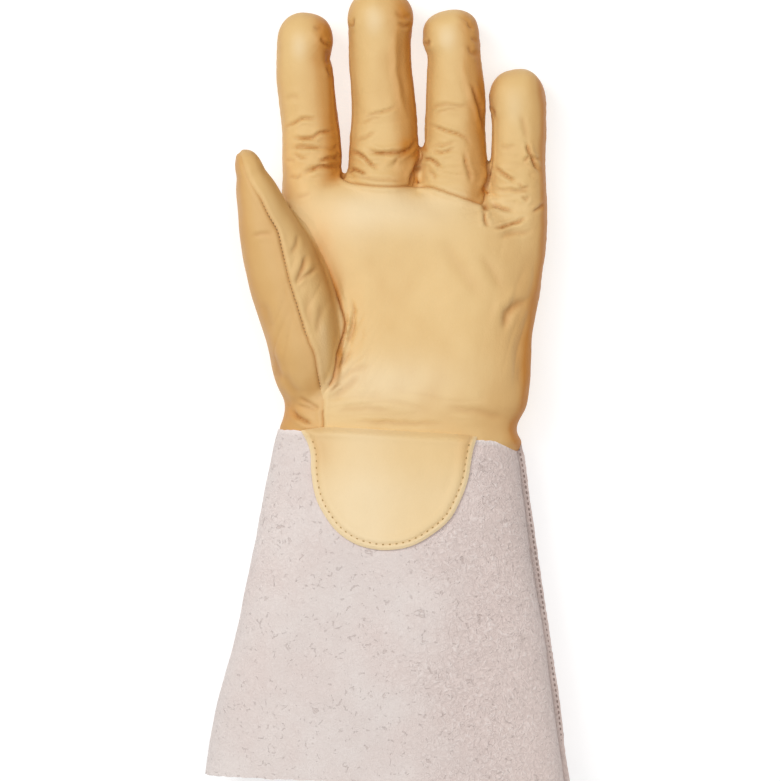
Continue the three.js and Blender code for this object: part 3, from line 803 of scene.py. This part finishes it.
# Palm panel: the palm with the fronts of the index and little fingers in one, its edge turned up
# at the finger base seam and folded hard at the root of the thumb.
PALM_FOLDS = [
    # index finger, from its middle joint down to the strip, then its side and its tip
    (0.8, 0.8, [(-47.2, 116.5), (-43.2, 118.4), (-39.1, 121), (-31.5, 120.6)]),
    (1.1, 0.8, [(-44.1, 112), (-37.8, 111.6), (-34.2, 112), (-30.6, 114.8), (-23.4, 115.2)]),
    (0.9, 0.8, [(-45, 107.5), (-38.2, 108), (-27.9, 107.5)]),
    (0.5, 0.8, [(-43.2, 104.9), (-39.6, 103), (-35.6, 102.6)]),
    (0.5, 0.8, [(-29.7, 108), (-25.2, 107.1), (-21.2, 108.5)]),
    (1.3, 0.8, [(-31.5, 100.4), (-27.4, 102.2), (-21.2, 104)]),
    (1.3, 0.9, [(-38.2, 95.4), (-35.6, 97.2), (-30.6, 98.5), (-21.2, 99)]),
    (0.5, 0.8, [(-45, 95), (-40.5, 94), (-37.8, 95.9)]),
    (0.3, 0.9, [(-46.8, 102.2), (-41.4, 100.8)]),
    (0.3, 0.9, [(-41.9, 85), (-38.7, 86), (-34.2, 87.8)]),
    (0.25, 1.2, [(-46.8, 130.1), (-43.2, 130.5), (-39.6, 129.6)]),
    (0.6, 1.5, [(-33.8, 162.9), (-31.9, 161.1), (-29.7, 162.5)]),
    (1, 0.8, [(-29.7, 158), (-29.7, 156.2), (-27.9, 154.3), (-25.2, 153)]),
    (0.7, 1.5, [(-27.4, 152.1), (-26.6, 149), (-27.4, 144.9)]),
    (0.7, 0.9, [(-27.9, 144.5), (-26.1, 141.8), (-24.8, 140)]),
    # little finger, from its tip down to the strip corner
    (0.5, 0.8, [(46.4, 126.5), (47.2, 123.8), (46.8, 121.5)]),
    (0.4, 1.4, [(59, 123.8), (61.2, 117), (63.5, 110.7)]),
    (1.4, 0.8, [(62.6, 110.7), (63.5, 105.3), (65.7, 100.8), (68.9, 97.2)]),
    (0.8, 0.7, [(60.8, 101.2), (63.5, 103.5)]),
    (0.6, 0.8, [(63.9, 103), (68.9, 103)]),
    (0.3, 1.2, [(50, 108.9), (54, 107.5), (57.6, 109.4)]),
    (1, 0.8, [(46.8, 99), (50.4, 97.2), (54, 94.5), (57.6, 92.2)]),
    (0.7, 0.9, [(51.8, 88.7), (57.6, 87.8), (64.4, 88.7)]),
    (0.7, 0.8, [(58.1, 92.2), (60.3, 89.5), (63.9, 90.5)]),
    (0.6, 0.8, [(59.4, 86.4), (62.1, 84.6), (63.9, 86)]),
    (1, 0.8, [(45.5, 82.8), (50.4, 81), (56.2, 78.8)]),
    (0.5, 0.8, [(47.7, 90), (51.3, 88.2), (55.8, 88.7)]),
    (1.1, 0.8, [(46.8, 71.5), (52.6, 72.5), (58.5, 73.8), (63, 77)]),
    (0.8, 0.8, [(65.2, 78.8), (68.4, 80.5), (70.7, 82.4)]),
    (0.5, 1.2, [(49.5, 67), (57.1, 68.9), (66.2, 70.7)]),
    (0.9, 0.8, [(43.2, 80.1), (43.6, 75.6), (45, 71.5)]),
    # round the root of the thumb
    (0.7, 0.9, [(-27.9, 46.8), (-25.7, 42.8), (-24.3, 37.8)]),
    (1, 0.9, [(-24.8, 45), (-22.9, 41), (-22.9, 34.6)]),
    (1.5, 0.9, [(-19.4, 35.6), (-18.9, 29.2), (-20.7, 21.2), (-24.3, 12.2), (-27.4, 4)]),
    (0.6, 0.8, [(-17.1, 40.1), (-15.3, 34.2), (-15.8, 28.4), (-18.4, 21.6)]),
    (0.7, 1.1, [(-14.4, 31.1), (-15.8, 24.8), (-18.9, 18.4)]),
    (0.6, 2, [(-26.1, -6.8), (-19.4, -0.5), (-11.7, 5.9)]),
    (0.4, 1.8, [(-25.2, 0.5), (-17.1, 6.8), (-7.2, 9.5)]),
    (0.6, 0.8, [(-28.4, -0.9), (-25.7, 1.8), (-22.5, 4)]),
    (0.5, 0.8, [(-27, -2.7), (-23.4, 0), (-19.8, 2.2)]),
    (0.5, 1.4, [(-26.1, 6.8), (-20.7, 11.2), (-16.2, 16.7)]),
    # the outer side of the hand and the wrist
    (0.35, 1.6, [(-24.8, -11.2), (-12.6, -9.5), (3.1, -10.3)]),
    (0.45, 2.5, [(40.5, 59.4), (45.9, 52.6), (51.3, 42.8)]),
    (1.2, 2, [(63.5, 39.6), (58.5, 37.4), (54, 33.3), (51.3, 25.7)]),
    (0.5, 3.5, [(23.4, 66.2), (31.5, 54.5), (42.3, 39.1)]),
    (0.5, 2, [(23.4, -8.1), (41.4, -11.2), (55.8, -14.8)]),
    (0.4, 1, [(-17.1, -15.3), (5.4, -16.7), (27.9, -16.7)]),
    (0.6, 2.5, [(59.9, 25.7), (58.5, 12.2), (59, -1.4)]),
]
palm = sewn_panel("palm_panel", PALM_FOLDS, wrinkles=[
    (-33, 112, 14, 10, 4, 3.6, 0.3), (-30, 98, 12, 9, 10, 3.4, 0.4), (58, 94, 14, 13, -4, 3.4, 0.4),
    (52, 78, 14, 9, 10, 3.6, 0.4), (5, -8, 55, 7, 0, 5.0, 0.4), (-14, 12, 9, 22, 60, 4.0, 0.35),
    (60, 40, 12, 40, 75, 7.0, 0.4)], puff=0.5)

# Fronts of the middle and ring fingers: two pieces of the same leather, sewn to the palm along the
# finger base seam and to the strips at their sides. Their folds run from the tip down to the seam.
MIDDLE_FOLDS = [
    (-0.5, 1.3, [(3.6, 162.5), (3.1, 151.7), (3.6, 140), (5.9, 129.2), (9, 120.2)]),
    (0.35, 2.2, [(7.2, 161.6), (7, 149.4), (7.2, 135.9), (9.5, 123.8)]),
    (0.7, 0.8, [(-17.6, 161.6), (-16.2, 162.9), (-15.3, 166.1)]),
    (0.6, 1.2, [(3.6, 169.7), (5.9, 166.5), (10.3, 166.1)]),
    (0.8, 0.8, [(3.6, 164.2), (7.2, 162.5), (10.8, 162.9)]),
    (0.6, 0.8, [(-11.7, 121), (-5.4, 122.9), (0, 124.2), (5, 126)]),
    (0.4, 0.8, [(-13.5, 117.9), (-7.2, 120.6), (-1.8, 121.5)]),
    (0.5, 0.9, [(-15.3, 111.2), (-9.9, 112), (-5.4, 114.8)]),
    (1.4, 0.9, [(-9.9, 106.7), (-3.6, 105.3), (5.4, 105.3), (9.5, 107.1), (13.1, 111.6)]),
    (1.2, 0.8, [(-18, 105.3), (-14.4, 105.3), (-10.8, 103.5), (-6.8, 99.9), (-4, 97.7)]),
    (1.2, 0.9, [(-18.4, 98.1), (-15.3, 97.7), (-9.5, 95.4)]),
    (-0.5, 1.3, [(-3.6, 98.5), (0.9, 102.2), (6.3, 104)]),
    (0.6, 0.8, [(2.2, 99.5), (4, 103), (9, 105.8)]),
    (0.5, 0.9, [(-17.6, 95), (-7.2, 93.2), (9, 92.7)]),
    (1.4, 0.8, [(10.3, 91.8), (10.8, 95.9), (13.1, 100.4), (14.8, 103.5)]),
]
sewn_panel("middle_finger_front", MIDDLE_FOLDS, wrinkles=[
    (-4, 100, 16, 8, 4, 3.4, 0.35), (-4, 120, 15, 10, 4, 4.4, 0.25)])
RING_FOLDS = [
    (0.8, 0.8, [(15.8, 154.3), (17.6, 154.3), (18.9, 156.2)]),
    (0.3, 0.8, [(30.2, 167.4), (35.1, 165.2), (38.7, 162)]),
    (0.7, 0.9, [(36, 163.8), (37.8, 162), (38.7, 162.9)]),
    (0.7, 1.1, [(35.6, 154.3), (36.9, 151.2), (41, 149)]),
    (0.6, 0.8, [(36.9, 157.1), (40.5, 155.7)]),
    (-0.5, 1.3, [(33.3, 147.2), (34.6, 140.8), (37.4, 135), (40.5, 127.4), (43.2, 119.2), (44.6, 108.9)]),
    (1.4, 0.9, [(36, 138.2), (38.7, 132.8), (41.4, 126), (43.6, 117.9), (44.3, 111.2)]),
    (0.5, 0.9, [(18, 124.2), (21.6, 126.5), (26.1, 127.4), (32.4, 126.5), (37.8, 127.4)]),
    (0.4, 0.8, [(20.7, 121.5), (23.4, 124.2), (27.9, 125.1), (33.3, 124.2)]),
    (0.8, 0.8, [(17.1, 118.4), (24.3, 116.1), (30.6, 113.9), (35.1, 112), (37.4, 108.5)]),
    (0.5, 0.8, [(18.9, 109.4), (24.3, 108.5), (30.6, 110.2)]),
    (0.7, 0.8, [(18.9, 106.2), (23.9, 105.3), (30.6, 107.5)]),
    (1.2, 0.8, [(14.8, 102.6), (18.9, 102.2), (21.6, 100.8), (23.9, 98.1)]),
    (0.7, 0.9, [(34.6, 106.7), (35.1, 100.8), (36.5, 95.9), (37.4, 91.8)]),
    (0.5, 0.9, [(17.1, 97.7), (20.2, 95.9), (21.6, 92.7)]),
    (1.6, 0.9, [(44.6, 101.2), (45.5, 95.9), (45, 92.2), (43.2, 87.3)]),
]
sewn_panel("ring_finger_front", RING_FOLDS, wrinkles=[
    (30, 97, 16, 9, -8, 3.4, 0.35), (30, 118, 15, 12, -15, 4.4, 0.25)])

# Fourchettes: narrow strips of the same leather, each running down the side of one finger, through
# the web and up the next. They are sewn between the fronts and the back.
for strip, (_, _, gap, _) in STRIPS.items():
    sewn_panel(strip, wrinkles=[(gap, 110, 12, 30, 0, 4, 0.4)], seam_depth=0.4)

# Wing thumb: an outer and an inner half of the same leather, sewn together along the ridge that
# faces up, with small stitches, and set into the palm at its root.
THUMB_FOLDS = [
    (0.5, 1, [(-40.1, 68.4), (-41, 63.5), (-43.2, 58.5)]),
    (0.9, 1.1, [(-36, 59.9), (-38.2, 53.6), (-41, 45.9)]),
    (0.6, 1, [(-41.4, 45.5), (-37.4, 49.1), (-31.1, 54.5)]),
    (0.5, 1.8, [(-29.7, 39.1), (-30.6, 31.1), (-32.4, 22.9)]),
    (0.4, 1.8, [(-35.6, 42.8), (-36, 33.8), (-34.6, 25.7)]),
    (0.6, 0.9, [(-39.6, -4.5), (-36.5, -7.2), (-33.3, -9), (-29.7, -9.9)]),
    (0.45, 0.8, [(-40.5, -7.7), (-36, -9.9), (-31.5, -11.2)]),
    (1.1, 0.9, [(-43.6, -10.3), (-41, -13.1), (-37.4, -15.3), (-33.3, -17.1)]),
    (0.35, 1, [(-61.2, 67), (-56.7, 68), (-51.3, 68)]),
    (0.4, 2.4, [(-56.7, 39.1), (-54, 31.9), (-52.2, 23.9)]),
    (0.5, 2, [(-48.1, 6.8), (-44.1, 1.4), (-38.2, -4)]),
    (0.7, 1.8, [(-53.6, 15.8), (-50.4, 9.5), (-48.1, 2.2)]),
]
thumb = sewn_panel("thumb_outer", THUMB_FOLDS, wrinkles=[(-48, 20, 10, 26, 70, 6.5, 0.35)],
                   seam_depth=0.55)
sewn_panel("thumb_inner", THUMB_FOLDS, wrinkles=[(-34, 45, 9, 24, 70, 6.0, 0.3)], seam_depth=0.55)

# Cuff: one piece of split leather folded round, widening to a raw hem. Its two edges are turned out
# and sewn together in a narrow flange on the little finger side.
CUFF = [  # y, left, right, back, front, climb in y for each mm of x
    (-21.9, -49.0, 56.4, -1, 43.6, -0.052), (-29, -50.8, 58.3, -1, 44.6, -0.052),
    (-45, -54.2, 60.8, -1, 46.6, -0.048), (-68, -58.8, 64.1, -1, 49.4, -0.046),
    (-92, -63.6, 67.6, -1, 52.2, -0.043), (-118, -69.5, 71.4, -1, 55.4, -0.04),
    (-142, -75.6, 74.9, -1, 58.2, -0.037), (-162, -80.1, 77.0, -1, 60.2, -0.034),
    (-176.6, -82.1, 79.3, -1, 61.2, -0.033),
]
CUFF_WALL = 1.9
FLANGE = 2.8  # how far the flange stands out
FLANGE_HALF = 2.0  # from the middle of the flange to its outer faces
HALF_OPEN = 0.10  # radians of the section that the flange takes up, to either side
EDGE_SHADE = 9  # points beside the flange's edge that are darker
cuff_rows = filled_in(CUFF, 4)[::-1]


def grid_quads(rows, columns):
    """The faces of a grid of points that are numbered row by row."""
    first = (np.arange(rows - 1)[:, None] * columns + np.arange(columns - 1)).ravel()
    return np.stack([first, first + 1, first + columns + 1, first + columns], 1)


section, turn = oval(390)
keep = (turn > HALF_OPEN) & (turn < 2 * np.pi - HALF_OPEN)
section, turn = section[keep], turn[keep]
lines = []
levels = np.linspace(CUFF[0][0], CUFF[-1][0], 118)
for level in levels:
    left, right, back, front, climb = section_at(cuff_rows, level)
    ruffle = np.clip((-60 - level) / 116.6, 0, 1) * 1.1 * np.sin(5 * turn + 0.8)
    x0, z0 = (left + right) / 2, (back + front) / 2
    x = x0 + (right - x0) * section[:, 0]
    z = np.maximum(z0 + ((front - back) / 2 + ruffle) * section[:, 1], 0)
    lip = np.array([right + FLANGE, right + FLANGE * 0.5, right, right - 0.9])
    x = np.r_[lip, x, lip[::-1]]
    rise = FLANGE_HALF + np.array([0, 0.05, 0.1, 0.6])
    z = np.r_[z0 + rise, z, z0 - rise[::-1]]
    lines.append(np.stack([x, level + climb * (x - x0), z], 1))
count = len(lines[0])
cuff_points = np.concatenate(lines)
cuff_quads = grid_quads(len(lines), count)
cuff_points += surface_normals(cuff_points, cuff_quads) * (
    (rumple(cuff_points, 30, 11) * 0.9 + rumple(cuff_points, 11, 12) * 0.25)
    * eased(cuff_points[:, 2], 0.3, 8))[:, None]
cuff_levels = np.repeat(levels, count)
sag = eased(cuff_levels, -48, CUFF[0][0]) * eased(cuff_points[:, 0], 36, 60)
cuff_points[:, 1] -= 1.0 * sag
cuff_points[:, 0] += 0.9 * sag
cuff_points[:, 2] = np.maximum(cuff_points[:, 2], 0)
lip_points = np.tile(np.r_[np.ones(3), np.zeros(count - 6), np.ones(3)], len(lines)) > 0
cuff_points[lip_points, 0] += rumple(cuff_points[lip_points], 1.6, 14) * 0.35
ends = np.r_[0:count, len(cuff_points) - count:len(cuff_points)]
cuff_points[ends, 1] += rumple(cuff_points[ends], 3.0, 13) * 0.5
raw_edge = 1 - eased(CUFF[0][0] - cuff_levels, 0.6, 2.0)
half_way = (count - 1) / 2
from_lip = half_way - np.abs(np.arange(count) - half_way)
lip_shade = np.tile(1 - eased(from_lip, 0, EDGE_SHADE), len(lines))
cuff = sheet("cuff_suede", cuff_points, cuff_quads, {"raw_edge": raw_edge, "lip": lip_shade})
thicken(cuff, CUFF_WALL)
bpy.ops.object.shade_smooth_by_angle(angle=SHARP)

# Split leather is the fibrous side of the hide: pinkish grey and matt, with a short nap that lies
# in curls and casts small dark flecks. Painted shade fills the curls' hollows and a painted highlight
# lies on their crests; more painted shade makes it darker and pinker towards the right, the upper
# right and the flange.
suede, nodes, links, shader, place = new_material("split_leather", {
    "Roughness": 0.95, "Specular IOR Level": 0.15, "Sheen Weight": 0.25, "Sheen Roughness": 0.6})
split = nodes.new("ShaderNodeSeparateXYZ")
links.new(place, split.inputs["Vector"])
# stronger towards the right and in random patches: a coarser nap, and painted shade on the right
coarse_nap_and_shade = math_of("ADD", range_of(split.outputs["X"], 0.0, 0.052, 0.0, 0.7),
                 range_of(noise_of(19, 3, 0.6), 0.40, 0.66, 0.0, 0.5), clamp=True)
# painted shade, pinker and darker, at the far right
far_right_shade = range_of(split.outputs["X"], 0.03, 0.075, 0.0, 1.0)
curls = noise_of(330, 3, 0.55, 2.4)
nap = noise_of(1100, 6, 0.75)
sparse = range_of(noise_of(340, 3, 0.6, 1.0), 0.62, 0.69)
cloudy = mix_of(range_of(noise_of(26, 6, 0.65), 0.35, 0.68),
                (0.79, 0.695, 0.655, 1), (0.845, 0.765, 0.725, 1))
right_shaded = mix_of(math_of("MULTIPLY", coarse_nap_and_shade, 0.8), cloudy, (0.86, 0.71, 0.66, 1))
shaded_suede = mix_of(far_right_shade, right_shaded, (0.90, 0.745, 0.69, 1))
# painted shade, darker, at the upper right
upper_right_shade = math_of("MULTIPLY", range_of(split.outputs["X"], 0.032, 0.062),
                range_of(split.outputs["Y"], -0.11, -0.04))
shaded_suede = mix_of(math_of("MULTIPLY", upper_right_shade, 0.3), shaded_suede, (0.62, 0.47, 0.42, 1))
fibre = mix_of(range_of(nap, 0.36, 0.66), mix_of(0.16, shaded_suede, (0.60, 0.48, 0.44, 1)), shaded_suede)
# painted shade in the hollows of the curls, and a painted highlight on their crests
curl_shade = math_of("MULTIPLY", range_of(curls, 0.56, 0.42), range_of(coarse_nap_and_shade, 0.0, 1.0, 0.06, 0.26))
curl_shaded = mix_of(curl_shade, fibre, (0.56, 0.44, 0.40, 1))
curl_highlight = math_of("MULTIPLY", range_of(curls, 0.56, 0.66), range_of(coarse_nap_and_shade, 0.0, 1.0, 0.1, 0.4))
lit = mix_of(curl_highlight, curl_shaded, (0.93, 0.85, 0.81, 1))
flecks = math_of("MULTIPLY", sparse, range_of(coarse_nap_and_shade, 0.0, 1.0, 0.3, 0.42))
flecked = mix_of(flecks, lit, (0.50, 0.38, 0.34, 1))
edged = mix_of(mask_of("raw_edge"), flecked, (0.92, 0.82, 0.775, 1))
# painted shade beside the flange's edge
lip_shaded = mix_of(math_of("MULTIPLY", mask_of("lip"), 0.5), edged, (0.56, 0.45, 0.41, 1))
links.new(lip_shaded, shader.inputs["Base Color"])
height = math_of("MULTIPLY", curls, range_of(coarse_nap_and_shade, 0.0, 1.0, 0.5, 1.5))
height = math_of("ADD", height, math_of("MULTIPLY", nap, 0.4))
height = math_of("SUBTRACT", height, math_of("MULTIPLY", sparse, 0.4))
links.new(relief_of(height, 0.7, 0.0009), shader.inputs["Normal"])
cuff.data.materials.append(suede)
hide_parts("cuff")
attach(cuff, "root")

# Pulse patch: grain leather sewn over the top of the cuff and into the wrist seam, with a rolled
# edge and one row of stitches just inside it. It is 79 mm wide and 55 mm from top to bottom. Its cut
# edge shows the inside of the hide, pinkish and fibrous.
cut_edge, nodes, links, shader, place = new_material("cut_edge", {"Roughness": 0.9})
fibres = mix_of(noise_of(900, 3), (0.60, 0.42, 0.34, 1), (0.80, 0.62, 0.52, 1))
links.new(fibres, shader.inputs["Base Color"])
PATCH = [
    (-39.2, -19.6), (-36, -25.4), (-34.6, -31), (-34.4, -38), (-32.9, -47.6), (-29.7, -55.4),
    (-23.2, -64.4), (-15.2, -70), (-6.4, -72.6), (1.6, -72.9), (10.4, -71.2), (19.2, -66.5),
    (27.4, -59.6), (32.4, -50.9), (35.8, -41.8), (37.2, -33.6), (38.4, -27.6), (40.1, -22.4)]
PATCH_TOP = [(40.1, -22.4), (24, -20.6), (5, -19.4), (-12, -18.2), (-27.5, -18), (-39.2, -19.6)]
PATCH_WALL = 1.5
STITCH_INSET = 2.5  # from the patch's edge to its row of stitches
patch_line = filled_in(PATCH, 12)
top_line = filled_in(PATCH_TOP, 12)
patch_outline = [tuple(p) for p in patch_line[:-1]] + [tuple(p) for p in top_line[:-1]]
pitch = 0.6
xs, ys = np.arange(-40, 42, pitch), np.arange(-74.4, -16.4, pitch)
grid_x, grid_y = np.meshgrid(xs, ys)
grid = np.stack([grid_x.ravel(), grid_y.ravel()], 1)
cells = grid_quads(len(ys), len(xs))
cells = cells[in_outline(grid[cells].mean(1), patch_outline)]
used, cells = np.unique(cells, return_inverse=True)
cells = cells.reshape(-1, 4)
flat = grid[used]
uses = np.bincount(cells.ravel(), minlength=len(flat))
from_side, _, on_side = from_line(flat, patch_line)
from_top, _, on_top = from_line(flat, top_line)
rim = uses < 4
flat[rim] = np.where((from_side < from_top)[:, None], on_side, on_top)[rim]
from_side, _, _ = from_line(flat, patch_line)
from_top, _, _ = from_line(flat, top_line)
cuff_surface = tree_of(cuff_points, cuff_quads)
CUFF_RIM = -23.0  # no height is read off the cuff nearer to its rim than this y


def cuff_top(xy):
    """Height of the cuff's outer side over a place, and beyond its edge as if it went on."""
    level, (left, right, back, front, _) = tilted_section(cuff_rows, xy[:, 0], xy[:, 1], 3)
    u = np.abs(xy[:, 0] - (left + right) / 2) / (right - left) * 2
    z = (back + front) / 2 + (front - back) / 2 * (1 - np.clip(u, 0, 1)**SQUARENESS)**(1 / SQUARENESS)
    for k, (x, y) in enumerate(xy):
        hit = below(cuff_surface, x, min(y, CUFF_RIM))
        z[k] = hit.z if hit else z[k]
    return z, level


patch_z, level = cuff_top(flat)
roll = eased(level, -22.6, -19.0)
BACK_HEIGHT = 20  # a height below this is the back's, seen past the edge of the palm
NO_PALM = 40  # the height used where the palm doesn't reach
palm_z = np.full(len(flat), -99.0)
for skin in (palm.data, thumb.data):
    skin_tree = tree_of(mesh_points(skin), mesh_quads(skin))
    for k, (x, y) in enumerate(flat):
        hit = below(skin_tree, x, y)
        palm_z[k] = max(palm_z[k], hit.z if hit and hit.z > BACK_HEIGHT else -99)
palm_z[palm_z < 0] = NO_PALM
patch_z = (patch_z + 0.5 + PATCH_WALL) * (1 - roll) + (palm_z + 0.35) * roll
patch_z -= 0.8 * bell(from_side, 0.8) + 0.45 * bell(from_side - STITCH_INSET, 0.5)
patch_z += 0.45 * bell(from_side - 4.8, 2.0) + 0.4 * bell(level + 23.5, 1.6)
patch_z -= 0.75 * bell(from_top, 1.2) * roll
patch_points = np.c_[flat, patch_z]
swell = rumple(patch_points, 16, 21) * 0.35 + rumple(patch_points, 5, 22) * 0.1
patch_points[:, 2] += swell * eased(from_top, 0, 4)
# painted shade along the groove of the stitch row
patch_crease_shade = 0.10 * bell(from_side - STITCH_INSET, 0.6)
# paler overall, more towards the bottom, along the edge and left of the middle
patch_paleness = 0.68 + 0.16 * eased(-flat[:, 1], 28, 50) + 0.3 * bell(from_side, 1.6)
patch_paleness += 0.18 * bell(flat[:, 0] + 12, 16)
# darker towards the two upper corners, in the mask that carries the panels' painted shade
patch_darker_corners = 0.26 * spot(flat, 36, -27, 5, 9)
patch_darker_corners += 0.20 * spot(flat, -32, -28, 7, 9)
patch_darker_corners *= eased(from_side, 1.4, 3.2)
patch = sheet("pulse_patch_leather", patch_points, cells,
              {"crease_shade": patch_crease_shade, "stretch_and_highlight": patch_paleness, "side": patch_darker_corners})
patch.data.materials.append(leather)
patch.data.materials.append(cut_edge)
thicken(patch, PATCH_WALL, rim=1)
bpy.ops.object.shade_smooth_by_angle(angle=SHARP)
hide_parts("pulse_patch")
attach(patch, "root")

# Threads: twisted thread in separate stitches, in a row round the patch, a row down the flange of
# the cuff and a row along the thumb. Lengths, spacings and radii are in millimetres.
TIMES_ROUND = 6  # corners round a thread
ALONG = (-0.5, -0.38, -0.15, 0.15, 0.38, 0.5)  # sections of a stitch, as shares of its length
THICK = (0.35, 0.85, 1, 1, 0.85, 0.35)  # their radii and heights, as shares of its radius
LIFTED = (-0.9, -0.25, 0.15, 0.15, -0.25, -0.9)
UP = np.array([0.0, 0.0, 1.0])


def stitch_row(name, path, length, pitch, radius, material):
    """Stitches along a path of points, each with its ends sunk in the leather."""
    path = np.array(path, float)
    steps = np.r_[0, np.cumsum(np.linalg.norm(np.diff(path, axis=0), axis=1))]
    points, quads = [], []
    for at in np.arange(pitch / 2, steps[-1], pitch):
        along_row = np.array([[np.interp(at + d * length, steps, path[:, k]) for k in range(3)]
                              for d in ALONG])
        way = along_row[-1] - along_row[0]
        way /= np.linalg.norm(way)
        across = np.cross(way, UP)
        across /= np.linalg.norm(across)
        base = len(points)
        for p, size, lift in zip(along_row, THICK, LIFTED):
            for k in range(TIMES_ROUND):
                turn = 2 * math.pi * k / TIMES_ROUND
                round_it = math.cos(turn) * across + math.sin(turn) * UP
                points.append(p + UP * lift * radius + radius * size * round_it)
        for r in range(len(ALONG) - 1):
            for k in range(TIMES_ROUND):
                a = base + r * TIMES_ROUND + k
                b = base + r * TIMES_ROUND + (k + 1) % TIMES_ROUND
                quads.append((a, a + TIMES_ROUND, b + TIMES_ROUND, b))
        last = base + (len(ALONG) - 1) * TIMES_ROUND
        quads.append(tuple(base + k for k in range(TIMES_ROUND)))
        quads.append(tuple(last + k for k in range(TIMES_ROUND - 1, -1, -1)))
    mesh = bpy.data.meshes.new(name)
    mesh.from_pydata(np.array(points) / 1000, [], quads)
    mesh.shade_smooth()
    mesh.materials.append(material)
    row = bpy.data.objects.new(name, mesh)
    bpy.context.collection.objects.link(row)
    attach(row, "root")
    return row


threads = {}
for name, colour in (("ochre_thread", (0.60, 0.38, 0.14)), ("brown_thread", (0.40, 0.29, 0.25)),
                     ("tan_thread", (0.42, 0.24, 0.09))):
    threads[name], nodes, links, shader, place = new_material(name, {"Roughness": 0.7})
    darker = [c * 0.6 for c in colour]
    tint = ramp_of(noise_of(1500), 0, (*darker, 1), 1, (*colour, 1))
    links.new(tint, shader.inputs["Base Color"])
patch_tree = nearest_of(patch_points * (1, 1, 0))
inward = np.stack([-np.gradient(patch_line[:, 1]), np.gradient(patch_line[:, 0])], 1)
inward /= np.linalg.norm(inward, axis=1)[:, None]
row_xy = (patch_line + inward * STITCH_INSET)[10:-8]
row_z = [patch_points[patch_tree.find((x, y, 0))[1], 2] for x, y in row_xy]
row = np.c_[row_xy, np.convolve(np.pad(row_z, 2, "edge"), np.ones(5) / 5, "valid")]
stitch_row("patch_stitches", row, 1.15, 3.0, 0.34, threads["ochre_thread"])
flange_row = []
for level in np.linspace(-24, -175, 80):
    left, right, back, front, climb = section_at(cuff_rows, level)
    x = right + FLANGE * 0.6
    y = level + climb * (x - (left + right) / 2)
    flange_row.append((x, y, (back + front) / 2 + FLANGE_HALF + 0.1))
stitch_row("flange_stitches", flange_row, 1.5, 2.5, 0.33, threads["brown_thread"])
RIDGE_STITCHED = (-3, 84)  # y between which the stitches along the thumb show
ridge_row = []
for x, y in SEAMS["thumb_ridge"]:
    if RIDGE_STITCHED[0] < y < RIDGE_STITCHED[1]:
        ridge_row.append((x, y, below(surface, x, y).z - 0.35))
stitch_row("thumb_stitches", ridge_row, 0.9, 1.7, 0.2, threads["tan_thread"])
